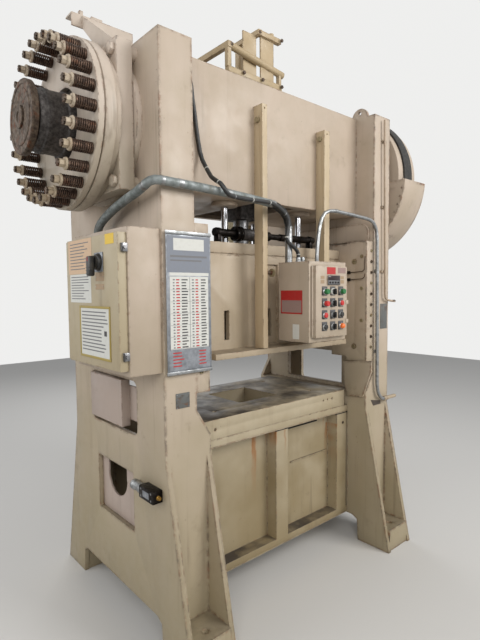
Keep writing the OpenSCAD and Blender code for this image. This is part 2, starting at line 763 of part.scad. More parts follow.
// Angle beam over the left upright, with its brace to the brake plate
beam_z = frame_h + 212;
module top_beam() {
    color(cream) {
        box(-145, col_w, 500, 508, beam_z - 60, beam_z);
        box(-145, col_w, 508, 570, beam_z - 8, beam_z);
        box(col_w - 45, col_w, 508, 530, frame_h, beam_z - 8);
        box(col_w - 60, col_w, 480, 560, frame_h, frame_h + 8);
        // Brace from the brake plate's top to the beam
        side(plate_x0 + 4, plate_x0 + 12) polygon([[194, crank_z + plate_s / 2],
            [330, crank_z + plate_s / 2], [500, beam_z - 60], [500, beam_z - 4]]);
    }
    color(rust) box(-40, 15, 520, 560, beam_z, beam_z + 22);
    color([0.25, 0.33, 0.42]) box(-98, -80, 520, 540, beam_z, beam_z + 30);
}

// Open bracket frame on the front edge of the crown's top
module top_frame() {
    color([0.66, 0.57, 0.44]) translate([mid_x - 362.5, setback, frame_h]) {
        box(0, 368, 0, 30, 0, 28);
        swept([[8, 16, 135], [387, 16, 88]], 18, 16);
        box(-4, 20, 0, 286, 118, 146);
        box(-4, 20, 262, 286, 0, 118);
        box(-4, 20, 4, 26, 28, 118);
        box(350, 368, 4, 26, 28, 105);
        box(120, 210, 30, 38, 0, 245);
        box(226, 320, 14, 22, 28, 240);
        box(200, 226, 0, 186, 242, 267);
        box(226, 364, 0, 26, 240, 265);
        box(200, 226, 156, 186, 0, 242);
        zcyl(301, 13, 265, 275, 14);
    }
}

// Control cabinet on the left upright's outer face
cab_wall = 4;
cab_gap = 0.4;
cab_rim = 34;                           // width of the rim round the door opening
cdoor_x1 = cab_x0 - cab_gap;
cdoor_x0 = cdoor_x1 - door_t;
cdoor_y0 = cab_y0 + 8;
cdoor_z0 = cab_z + door_in;
cdoor_z1 = cab_z + cab_h - door_in;
cab_hinge_y = cab_y1 + 9;
module cabinet_box() {
    color(cream) {
        difference() {
            box(cab_x0, cab_x1, cab_y0, cab_y1, cab_z, cab_z + cab_h);
            box(cab_x0 + cab_wall, cab_x1 - cab_wall, cab_y0 + cab_wall, cab_y1 - cab_wall,
                cab_z + cab_wall, cab_z + cab_h - cab_wall);
            box(cab_x0 - eps, cab_x0 + cab_wall + eps, cab_y0 + cab_rim, cab_y1 - cab_rim,
                cab_z + cab_rim, cab_z + cab_h - cab_rim);
        }
        // Mounting panel inside
        box(cab_x1 - cab_wall - 20, cab_x1 - cab_wall, cab_y0 + 40, cab_y1 - 40, cab_z + 50,
            cab_z + cab_h - 50);
    }
}
module cabinet_door() {
    color([0.67, 0.62, 0.50]) {
        difference() {
            box(cdoor_x0, cdoor_x1, cdoor_y0, cab_y1, cdoor_z0, cdoor_z1);
            box(cdoor_x0 + 3, cdoor_x1 + eps, cdoor_y0 + 12, cab_y1 - 12, cdoor_z0 + 12,
                cdoor_z1 - 12);
        }
        // Piano hinge
        box(cdoor_x0, cdoor_x0 + 4, cab_y1, cab_hinge_y, cdoor_z0 + 4, cdoor_z1 - 4);
        box(cdoor_x0, cdoor_x1 - 4, cab_hinge_y - 3, cab_hinge_y + 3, cdoor_z0 + 4,
            cdoor_z1 - 4);
        zcyl(cdoor_x1, cab_hinge_y, cdoor_z0 + 4, cdoor_z1 - 4, 6);
        // Base of the disconnect
        box(cdoor_x0 - 4, cdoor_x0, disc_y - 40, disc_y + 40, disc_z - 40, disc_z + 40);
    }
}
module door_clamps() {
    color(steel) for (z = [cdoor_z0 + 60, cdoor_z1 - 60]) {
        box(cdoor_x0 + 12, cdoor_x1, cdoor_y0 - 12, cdoor_y0, z - 17, z + 17);
        ycyl(cdoor_x0 + 25, cdoor_y0 - 19, cdoor_y0 - 12, z, 7);
    }
}
// Disconnect: a base on the door and a grip that turns on it
disc_y = 186;
disc_z = 1719;
module disconnect_handle() {
    color(dark) {
        xcyl(cdoor_x0 - 26, cdoor_x0 - 4.4, disc_y, disc_z, 33);
        box(cdoor_x0 - 52, cdoor_x0 - 26, disc_y - 20, disc_y + 20, disc_z - 58, disc_z + 24);
    }
}

// Operator panel in front of the slide
panel_x1 = panel_x0 + panel_w;
pdoor_y1 = panel_y0 + pdoor_t;
pbox_y0 = pdoor_y1 + 0.4;
pdoor_x0 = panel_x0 + panel_rim;
pdoor_x1 = panel_x1 - 18;
pdoor_z0 = panel_z + panel_rim - 3;
pdoor_z1 = panel_z + panel_h - panel_rim + 3;
panel_hinge_x = pdoor_x0 - 8;
panel_hinge_y = pbox_y0 - 6;
module panel_box() {
    color(cream) difference() {
        box(panel_x0, panel_x1, pbox_y0, panel_y1, panel_z, panel_z + panel_h);
        box(panel_x0 + 3, panel_x1 - 3, pbox_y0 + 3, panel_y1 - 3, panel_z + 3,
            panel_z + panel_h - 3);
        box(pdoor_x0 + 8, pdoor_x1 - 8, pbox_y0 - eps, pbox_y0 + 4, pdoor_z0 + 8, pdoor_z1 - 8);
    }
    // Straps that join it to the right knockout bar
    color(cream) for (z = [panel_z + 90, panel_z + panel_h - 130])
        box(panel_x1 - 160, bar_x[1], panel_y1, panel_y1 + 12, z, z + 50);
}
module panel_door() {
    color(cream) {
        difference() {
            box(pdoor_x0, pdoor_x1, panel_y0, pdoor_y1, pdoor_z0, pdoor_z1);
            box(pdoor_x0 + 8, pdoor_x1 - 8, panel_y0 + 3, pdoor_y1 + eps, pdoor_z0 + 8,
                pdoor_z1 - 8);
        }
        // Piano hinge on the box's rim
        box(panel_hinge_x, pdoor_x0, panel_hinge_y - 2, panel_hinge_y + 2, pdoor_z0 + 4,
            pdoor_z1 - 4);
        zcyl(panel_hinge_x, panel_hinge_y, pdoor_z0 + 4, pdoor_z1 - 4, 5);
        // Window of the counter, above the operators
        box(op_x0 + op_dx * 0.3, op_x0 + op_dx * 1.82, panel_y0 - 5, panel_y0, op_z0 + 34,
            op_z0 + 82);
        // Clamps on the free edge
        for (z = [panel_z + 100, panel_z + 200]) {
            box(pdoor_x1, pdoor_x1 + 10, panel_y0 - 3, pdoor_y1, z - 10, z + 10);
            box(pdoor_x1 - 12, pdoor_x1, panel_y0 - 3, panel_y0, z - 10, z + 10);
            xcyl(pdoor_x1 + 10, pdoor_x1 + 16, panel_y0 + 9, z, 6);
        }
    }
}
function op_x(c) = op_x0 + c * op_dx;
function op_z(r) = op_z0 - r * op_dz;
ring_h = 10;
module legend_plates() {
    color(grey) for (r = [0 : 3], c = [0 : 2]) {
        difference() {
            union() {
                box(op_x(c) - 21, op_x(c) + 21, panel_y0 - 1.5, panel_y0, op_z(r) - 20,
                    op_z(r) + 26);
                ycyl(op_x(c), panel_y0 - ring_h, panel_y0 - 1.5, op_z(r), op_r + 4);
            }
            ycyl(op_x(c), panel_y0 - ring_h - eps, panel_y0 - 1.5, op_z(r), op_r + 0.5);
        }
    }
}
push_t = 5;
module push_button(c, r, shade, out = 6) {
    color(shade) ycyl(op_x(c), panel_y0 - ring_h - out, panel_y0 - 1.9 - push_t, op_z(r), op_r);
}
module selector(c, r) {
    color(dark) {
        ycyl(op_x(c), panel_y0 - ring_h - 4, panel_y0 - 1.9, op_z(r), op_r);
        box(op_x(c) - 4, op_x(c) + 4, panel_y0 - ring_h - 16, panel_y0 - ring_h - 4,
            op_z(r) - 15, op_z(r) + 15);
    }
}

// Pipes and cables
cab_top = cab_z + cab_h;
panel_top = panel_z + panel_h;
gland_x = 829;
module conduits() {
    color(grey) {
        swept([[-60, 470, cab_top], [-60, 470, 1874], [-60, 460, 1895], [-60, 436, 1915],
            [-60, 390, 1935], [-60, 340, 1952], [-60, 287, 1967], [-60, 240, 1978],
            [-60, 192, 1988], [-60, 150, 1996], [-60, 105, 2004], [-60, 70, 2012],
            [-60, 40, 2020], [-60, 14, 2028], [-56, -10, 2035], [-44, -26, 2039],
            [-22, -30, 2040], [0, -30, 2040], [180, -29, 2037], [300, -18, 2036],
            [440, -2, 2034], [560, 14, 2032], [650, 22, 2028], [700, 27, 2019],
            [745, 30, 1999], [775, 32, 1970], [790, 34, 1935], [793, 35, 1890],
            [793, 35, panel_top]], conduit_d / 2, 16, [1, 1, 0]);
        swept([[951, -23, panel_top], [951, -23, 1780], [956, -23, 1830], [966, -23, 1900],
            [976, -23, 1943], [992, -23, 1982], [1018, -23, 2011], [1055, -23, 2026],
            [1105, -23, 2031], [1240, -23, 2026], [1390, -23, 2018], [1440, -23, 2013],
            [1474, -23, 2001], [1500, -23, 1975], [1514, -23, 1945], [1520, -23, 1905],
            [1534, -23, 1010], [1538, -23, 975], [1550, -23, 943], [1570, -23, 918],
            [1588, -23, 905], [1606, -23, 900]], tube_d / 2);
        // Fitting at the lower end, and blocks that hold the conduits to the upright
        xcyl(1606.2, 1650, -23, 900, 15);
        xcyl(1650, 1740, -23, 900, 12);
        for (z = [1200, 1700]) box(1520.5, 1560, -11.8, 0, z, z + 18);
        box(60, 110, -9.8, 0, 2024, 2052);
        // Glands on the panel's top, and the block that the cable comes out of
        zcyl(gland_x, 0, panel_top, panel_top + 25, 15);
        zcyl(gland_x + 34, 0, panel_top, panel_top + 30, 12);
        box(208, 242, setback - 26, setback, 2640, frame_h);
    }
}
cable_r = 10;
module cables() {
    color(dark) swept([[225, 124, 2640], [225, 124, 2622], [230, 124, 2590], [238, 124, 2560],
        [247, 124, 2523], [253, 124, 2470], [262, 124, 2417], [271, 124, 2350],
        [281, 124, 2290], [288, 120, 2240], [292, 108, 2200], [290, 84, 2168], [284, 54, 2136],
        [278, 22, 2104], [276, -14, 2082], [278, -42, 2066], [283, -60, 2044],
        [294, -64, 2026], [315, -58, 2017], [341, -48, 2016], [428, -34, 2017], [520, -22, 2021],
        [590, -14, 2024], [630, -11, 2021], [668, -7, 2012], [701, -3, 1997], [732, -1, 1980],
        [751, 0, 1958], [756, 0, 1935], [750, 0, 1905], [742, 0, 1875], [742, 0, 1855],
        [752, 0, 1840], [775, 0, 1828], [800, 0, 1815], [819, 0, 1800], [gland_x, 0, 1783],
        [gland_x, 0, panel_top + 25]], cable_r, 12, [0, 1, -1]);
}
module air_pipe() {
    color(grey) {
        swept([for (p = [[1597, 2633], [1599, 2500], [1607, 2080], [1617, 1620], [1619, 1570],
            [1623, 1548], [1634, 1533], [1652, 1526], [1690, 1521], [1732, 1518]])
            [p[0], -20, p[1]]], 7);
        for (z = [1700, 2100, 2500]) box(1590, 1630, -12.8, 0, z, z + 14);
    }
}
module chart_sign() {
    color([0.75, 0.78, 0.80]) {
        box(5, 240, -14, -11, 1240, 1850);
        for (z = [1250, 1840]) xcyl(5, 240, -18, z, 4);
        for (x = [25, 140], z = [1270, 1820]) ycyl(x, -11, 0, z, 6);
        box(54, 125, -2, 0, 1093, 1159);
    }
}
module side_covers() {
    color([0.72, 0.58, 0.52]) {
        // Cover in the left upright's upper window
        box(-20, wall, 350, 690, 955, 1180);
        box(wall, wall + 8, 225, 735, 985, 1150);
        // Plate behind the lower window, with a round-bottomed slot
        side(wall, wall + 10) difference() {
            translate([low_y0 - 20, low_z0 - 20])
                square([low_y1 - low_y0 + 40, low_z1 - low_z0 + 40]);
            translate([403, 664]) square([194, 84]);
            intersection() {
                translate([500, 665]) circle(100, $fn = 48);
                translate([390, 560]) square([220, 105]);
            }
        }
        // Slanted cover on the right upright's inner side
        side(right_x - 87, right_x - 75) polygon([[161, 1138], [-46, 1160], [-46, 1093],
            [15, 926], [136, 921], [160, 1036]]);
        box(right_x - 75, right_x, 20, 140, 1085, 1110);
    }
}
module air_valve() {
    color(dark) {
        box(-50, 0, 30, 150, 692, 748);
        ycyl(-25, 150, 240, 720, 24);
        ycyl(-25, 14, 30, 720, 10);
    }
}

green = [0.13, 0.42, 0.20];
module start_button() { push_button(0, 0, green, 18); }
module mode_selector() { selector(1, 0); }
module inch_button() { push_button(2, 0, green, 18); }
module stop_button() { push_button(0, 1, red, 18); }
module count_selector() { selector(1, 1); }
module top_stop_button() { push_button(2, 1, red); }
module reset_button() { push_button(0, 2, red); }
module light_selector() { selector(1, 2); }
module bar_button() { push_button(2, 2, dark); }
module air_button() { push_button(0, 3, dark); }
module brake_selector() { selector(1, 3); }
module fault_button() { push_button(2, 3, [0.85, 0.40, 0.10], 18); }

// The origin is at the middle of the whole part's base
low_x = end_x0 - 10;
low_y = min(-flare, panel_y0 - ring_h - 20);
high_y = motor_y + 140;
translate([-(low_x + guard_x1) / 2, -(low_y + high_y) / 2, 0]) {
    left_upright();
    right_upright();
    crown();
    bed();
    bolster();
    gibs();
    frame_bolts();
    knockout_bars();
    main_bushings();
    crankshaft();
    pitman();
    adjusting_screw();
    slide();
    gib_plates();
    adjust_shaft();
    counterbalance_cylinders();
    counterbalance_rods();
    brake_plate();
    brake_bolts();
    brake_housing();
    friction_disc();
    pressure_ring();
    brake_springs();
    spring_studs();
    brake_hub();
    end_disc();
    flywheel();
    flywheel_bearing();
    flywheel_guard();
    motor();
    motor_sheave();
    drive_belt();
    motor_bracket();
    top_beam();
    top_frame();
    cabinet_box();
    cabinet_door();
    door_clamps();
    disconnect_handle();
    panel_box();
    panel_door();
    legend_plates();
    start_button();
    mode_selector();
    inch_button();
    stop_button();
    count_selector();
    top_stop_button();
    reset_button();
    light_selector();
    bar_button();
    air_button();
    brake_selector();
    fault_button();
    conduits();
    cables();
    chart_sign();
    side_covers();
    air_valve();
    air_pipe();
}
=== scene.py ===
import json
import random
from math import cos, pi, radians, sin

import bmesh
import bpy
from mathutils import Matrix, Vector


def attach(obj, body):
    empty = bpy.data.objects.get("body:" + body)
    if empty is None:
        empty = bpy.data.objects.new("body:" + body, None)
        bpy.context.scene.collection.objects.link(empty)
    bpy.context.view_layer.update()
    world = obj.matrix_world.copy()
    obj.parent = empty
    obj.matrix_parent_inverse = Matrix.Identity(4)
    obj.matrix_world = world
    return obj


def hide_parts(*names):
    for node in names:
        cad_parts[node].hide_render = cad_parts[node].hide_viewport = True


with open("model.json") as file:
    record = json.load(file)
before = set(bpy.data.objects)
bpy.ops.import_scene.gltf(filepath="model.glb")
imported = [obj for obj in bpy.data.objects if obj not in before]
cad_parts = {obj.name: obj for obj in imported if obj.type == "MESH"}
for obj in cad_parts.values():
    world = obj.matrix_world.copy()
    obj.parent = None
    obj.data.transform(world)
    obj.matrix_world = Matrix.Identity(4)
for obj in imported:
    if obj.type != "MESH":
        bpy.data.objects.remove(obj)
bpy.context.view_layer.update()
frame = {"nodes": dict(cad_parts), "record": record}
NODES = frame["nodes"]
RNG = random.Random(7)

# The row's origin in press coordinates, which are the part's source's own, in millimetres
ORIGIN = Vector((821.5, 615.0, 0.0))
# Middle of the frame's depth, the crankshaft's height, and the frame's width and depth
MID_Y, CRANK_Z, TOTAL_W, TOTAL_D = 470.0, 2337.0, 1685.0, 940
LEFT, RIGHT, FRONT, REAR, UP = (-1, 0, 0), (1, 0, 0), (0, -1, 0), (0, 1, 0), (0, 0, 1)


def at(x, y, z):
    """A point in press millimetres as a point of the row's frame in metres."""
    return (Vector((x, y, z)) - ORIGIN) / 1000


# ---- camera and light

cam_data = bpy.data.cameras.new("camera")
cam = bpy.data.objects.new("camera", cam_data)
bpy.context.scene.collection.objects.link(cam)
bpy.context.scene.camera = cam
# Solved from the photograph: focal length in pixels, angles, and the place with the eye at 1.6 m
FOCAL_PX, PICTURE_PX, SENSOR_MM = 476.84, 640, 36
cam_data.sensor_width = SENSOR_MM
cam_data.lens = FOCAL_PX * SENSOR_MM / PICTURE_PX
cam_data.clip_start = 0.05
YAW, PITCH, ROLL = radians(40.98), radians(-3.63), radians(-0.5)
fwd = Vector((sin(YAW) * cos(PITCH), cos(YAW) * cos(PITCH), sin(PITCH)))
flat_right = Vector((cos(YAW), -sin(YAW), 0))
flat_up = flat_right.cross(fwd)
right = cos(ROLL) * flat_right + sin(ROLL) * flat_up
up = -sin(ROLL) * flat_right + cos(ROLL) * flat_up
CAMERA_AT = at(-1052, -1695, 1600)
cam.matrix_world = Matrix.Translation(CAMERA_AT) @ Matrix(
    ((right.x, up.x, -fwd.x, 0), (right.y, up.y, -fwd.y, 0), (right.z, up.z, -fwd.z, 0),
     (0, 0, 0, 1)))


def area_light(name, place, target, size, power, colour=(1, 1, 1)):
    data = bpy.data.lights.new(name, "AREA")
    data.size = size
    data.energy = power
    data.color = colour
    lamp = bpy.data.objects.new(name, data)
    bpy.context.scene.collection.objects.link(lamp)
    lamp.location = place
    lamp.rotation_euler = (Vector(target) - Vector(place)).to_track_quat("-Z", "Y").to_euler()


area_light("key", (-3.6, -4.2, 4.2), (0, 0, 1.4), 3.0, 120, (1, 0.98, 0.95))
area_light("fill", (2.2, -5.2, 4.0), (0.2, 0, 1.4), 3.0, 225, (1, 0.99, 0.97))
area_light("back", (1.5, 4.5, 4.5), (0, 0, 1.5), 3.5, 90)
area_light("left", (-4.5, 1.5, 2.8), (0, 0, 1.4), 3.0, 70)

scene = bpy.context.scene
scene.view_settings.view_transform = "Standard"
world = bpy.data.worlds.new("studio")
scene.world = world
world.use_nodes = True
wt = world.node_tree
wt.nodes.clear()
# What lights the press, and what the camera and glossy surfaces see behind it
AMBIENT, BACKDROP = 0.34, (0.86, 0.86, 0.85, 1)
w_out, w_mix, w_amb, w_see, w_path, w_max = (
    wt.nodes.new("ShaderNode" + kind) for kind in (
        "OutputWorld", "MixShader", "Background", "Background", "LightPath", "Math"))
w_amb.inputs[0].default_value = (0.95, 0.97, 1.0, 1)
w_amb.inputs[1].default_value = AMBIENT
w_see.inputs[0].default_value = BACKDROP
w_see.inputs[1].default_value = 1.0
w_max.operation = "MAXIMUM"
for a, out, b, into in (
        (w_path, "Is Camera Ray", w_max, 0), (w_path, "Is Glossy Ray", w_max, 1),
        (w_max, 0, w_mix, 0), (w_amb, 0, w_mix, 1), (w_see, 0, w_mix, 2), (w_mix, 0, w_out, 0)):
    wt.links.new(a.outputs[out], b.inputs[into])

# ---- materials


class Mat:
    """Builds a node material, with patterns in the object's own coordinates."""

    def __init__(self, name):
        self.mat = bpy.data.materials.new(name)
        self.mat.use_nodes = True
        self.nt = self.mat.node_tree
        self.nt.nodes.clear()
        self.out = self.add("OutputMaterial")
        self.bsdf = self.add("BsdfPrincipled")
        self.link(self.bsdf, 0, self.out, 0)
        self.coord = self.add("TexCoord")

    def add(self, kind, **props):
        n = self.nt.nodes.new("ShaderNode" + kind)
        for k, v in props.items():
            setattr(n, k, v)
        return n

    def link(self, a, i, b, j):
        self.nt.links.new(a.outputs[i], b.inputs[j])

    def scaled(self, scale):
        m = self.add("Mapping")
        m.inputs["Scale"].default_value = scale
        self.link(self.coord, "Object", m, 0)
        return m

    def noise(self, scale, detail=3.0, rough=0.55, stretch=(1, 1, 1)):
        n = self.add("TexNoise")
        n.inputs["Scale"].default_value = scale
        n.inputs["Detail"].default_value = detail
        n.inputs["Roughness"].default_value = rough
        self.link(self.scaled(stretch), 0, n, "Vector")
        return n

    def ramp(self, src, out, lo, hi, a=0.0, b=1.0):
        r = self.add("MapRange", clamp=True)
        r.interpolation_type = "SMOOTHSTEP"
        for k, v in zip(range(1, 5), (lo, hi, a, b)):
            r.inputs[k].default_value = v
        self.link(src, out, r, 0)
        return r

    def colour(self, col):
        self.nt.links.new(col[0].outputs[col[1]], self.bsdf.inputs["Base Color"])

    def times(self, a, b):
        """The product of two nodes' first outputs, or of a node's and a number."""
        return self.math("MULTIPLY", (a, 0), b if isinstance(b, (int, float)) else (b, 0))

    def math(self, op, a, b, clamp=True):
        m = self.add("Math", operation=op, use_clamp=clamp)
        for k, s in enumerate((a, b)):
            if isinstance(s, (int, float)):
                m.inputs[k].default_value = s
            else:
                self.link(s[0], s[1], m, k)
        return m

    def mix(self, fac, a, b):
        """Mixes two colours, or (node, output) pairs; gives its own node and output."""
        m = self.add("Mix", data_type="RGBA", blend_type="MIX")
        for key, kind, s in (("Factor", "VALUE", fac), ("A", "RGBA", a), ("B", "RGBA", b)):
            sock = next(i for i in m.inputs if i.name == key and i.type == kind)
            if len(s) == 3:
                sock.default_value = (*s, 1)
            else:
                self.nt.links.new(s[0].outputs[s[1]], sock)
        return m, next(i for i, o in enumerate(m.outputs) if o.type == "RGBA")

    def edge(self, radius):
        """1 near the edges, 0 on flat faces."""
        bev = self.add("Bevel", samples=4)
        bev.inputs["Radius"].default_value = radius
        geo = self.add("NewGeometry")
        dot = self.add("VectorMath", operation="DOT_PRODUCT")
        self.link(bev, 0, dot, 0)
        self.link(geo, "True Normal", dot, 1)
        return self.ramp(dot, "Value", 0.80, 0.995, 1.0, 0.0)

    def bump(self, src, out, strength, distance=0.002):
        b = self.add("Bump")
        b.inputs["Strength"].default_value = strength
        b.inputs["Distance"].default_value = distance
        self.link(src, out, b, "Height")
        self.link(b, 0, self.bsdf, "Normal")


def srgb(r, g, b):
    def lin(v):
        v /= 255
        return v / 12.92 if v <= 0.04045 else ((v + 0.055) / 1.055) ** 2.4
    return (lin(r), lin(g), lin(b))


def mixc(a, b, t):
    return tuple(x * (1 - t) + y * t for x, y in zip(a, b))


CHIP, RUST, STREAK = srgb(62, 48, 38), srgb(112, 66, 34), srgb(150, 98, 48)
GRIME, DUST, SOIL = srgb(88, 72, 52), srgb(58, 50, 42), srgb(120, 112, 98)


def paint(
        name, top, low, z_lo=0.2, z_hi=1.9, chips=0.5, dirt=0.5, spots=0.4, edge_r=0.010,
        streaks=(), top_dirt=0.5):
    """Worn paint that goes from one colour below z_lo metres to another above z_hi."""
    m = Mat(name)
    xyz = m.add("SeparateXYZ")
    m.link(m.coord, "Object", xyz, 0)
    wob = m.noise(2.2, 3, 0.6)
    zz = m.math("ADD", (xyz, "Z"), (m.ramp(wob, 0, 0.3, 0.7, -0.25, 0.25), 0), clamp=False)
    grad = m.ramp(zz, 0, z_lo, z_hi, 1.0, 0.0)
    col = m.mix((grad, 0), top, low)
    # Mottling, then long faint runs of dirt down the faces
    mot = m.ramp(m.noise(5, 5, 0.6), 0, 0.35, 0.7, 0.0, 0.35)
    col = m.mix((mot, 0), col, mixc(top, low, 0.75))
    run = m.ramp(m.noise(26, 4, 0.6, (1, 1, 0.06)), 0, 0.52, 0.78, 0.0, 0.55 * dirt)
    run2 = m.ramp(m.noise(1.7, 2), 0, 0.42, 0.66, 0.2, 1.0)
    runs = m.times(run, run2)
    col = m.mix((runs, 0), col, GRIME)
    # Oily smudges
    smu = m.ramp(m.noise(7, 6, 0.65), 0, 0.60, 0.80, 0.0, 0.7 * dirt)
    col = m.mix((smu, 0), col, mixc(GRIME, low, 0.35))
    # Chips along edges and scattered spots
    edge = m.edge(edge_r)
    brk = m.ramp(m.noise(30, 6, 0.75), 0, 0.53 - 0.14 * chips, 0.58, 0.0, 1.0)
    clus = m.ramp(m.noise(3.4, 3, 0.6), 0, 0.36, 0.52, 0.2, 1.0)
    em = m.times(m.times(m.times(edge, brk), clus), min(1.0, 0.6 + 0.9 * chips))
    sp = m.ramp(m.noise(85, 3, 0.5), 0, 0.735 - 0.05 * spots, 0.775, 0.0, 1.0)
    sp2 = m.ramp(m.noise(3.1, 2), 0, 0.45, 0.62, 0.0, 1.0)
    sm = m.times(sp, sp2)
    chip = m.math("MAXIMUM", (em, 0), (sm, 0))
    rust = m.ramp(m.noise(22, 3), 0, 0.42, 0.62, 0.0, 1.0)
    chipc = m.mix((rust, 0), CHIP, RUST)
    col = m.mix((chip, 0), col, chipc)
    # Runs of rust below a place: (x, top, bottom, half width, strength) in press millimetres
    for x, z_top, z_bot, half, strength in streaks:
        back = -(x - ORIGIN.x) / 1000
        sway = m.ramp(m.noise(6, 2, 0.5, (1, 1, 2)), 0, 0.3, 0.7, back - 0.006, back + 0.006)
        dx = m.math("ABSOLUTE", (m.math("ADD", (xyz, "X"), (sway, 0), clamp=False), 0), 0.0)
        across = m.ramp(dx, 0, half / 1000 * 0.4, half / 1000, 1.0, 0.0)
        down = m.ramp(xyz, "Z", z_bot / 1000, z_top / 1000, 0.0, 1.0)
        over = m.ramp(xyz, "Z", z_top / 1000, z_top / 1000 + 0.004, 1.0, 0.0)
        mask = m.times(m.times(across, down), over)
        uneven = m.ramp(m.noise(40, 3, 0.6, (1, 1, 0.15)), 0, 0.3, 0.6, 0.3 * strength, strength)
        col = m.mix((m.times(mask, uneven), 0), col, STREAK)
    # Dust and oil on faces that look up
    up = m.add("SeparateXYZ")
    geo = m.add("NewGeometry")
    m.link(geo, "True Normal", up, 0)
    flat = m.ramp(up, "Z", 0.75, 0.97, 0.0, 1.0)
    dust = m.times(flat, m.ramp(m.noise(4, 5, 0.65), 0, 0.30, 0.62, 0.25 * top_dirt, top_dirt))
    col = m.mix((dust, 0), col, DUST)
    m.colour(col)
    rr = m.ramp(m.noise(9, 4), 0, 0.3, 0.7, 0.40, 0.66)
    m.link(rr, 0, m.bsdf, "Roughness")
    fine = m.noise(160, 3, 0.6)
    h = m.math("SUBTRACT", (fine, 0), (chip, 0), clamp=False)
    m.bump(h, 0, 0.16, 0.0012)
    return m.mat


def metal(
        name, colour, dark=None, rough=0.4, metallic=1.0, grain=60, spots=0.5,
        spot_colour=srgb(70, 46, 30), bump=0.12):
    """Metal in two mottled tones, with spots of rust or dirt."""
    m = Mat(name)
    dark = dark or mixc(colour, (0, 0, 0), 0.45)
    n = m.noise(grain, 5, 0.65)
    col = m.mix((m.ramp(n, 0, 0.3, 0.7), 0), dark, colour)
    sp = m.ramp(
        m.noise(grain * 0.45, 4, 0.6), 0, 0.62 - 0.12 * spots, 0.74, 0.0, min(1.0, spots * 1.4))
    col = m.mix((sp, 0), col, spot_colour)
    m.colour(col)
    m.bsdf.inputs["Metallic"].default_value = metallic
    rr = m.ramp(n, 0, 0.3, 0.75, rough + 0.18, max(0.05, rough - 0.06))
    m.link(rr, 0, m.bsdf, "Roughness")
    m.bump(n, 0, bump, 0.001)
    return m.mat


def plastic(name, colour, rough=0.35, wear=0.3):
    """Plastic, rubber, print or paper with patches of soil."""
    m = Mat(name)
    n = m.noise(240, 3)
    soil = m.ramp(m.noise(70, 4), 0, 0.45, 0.75, 0.0, wear)
    col = m.mix((soil, 0), colour, mixc(colour, SOIL, 0.6))
    m.colour(col)
    m.bsdf.inputs["Roughness"].default_value = rough
    m.bump(n, 0, 0.05, 0.0006)
    return m.mat


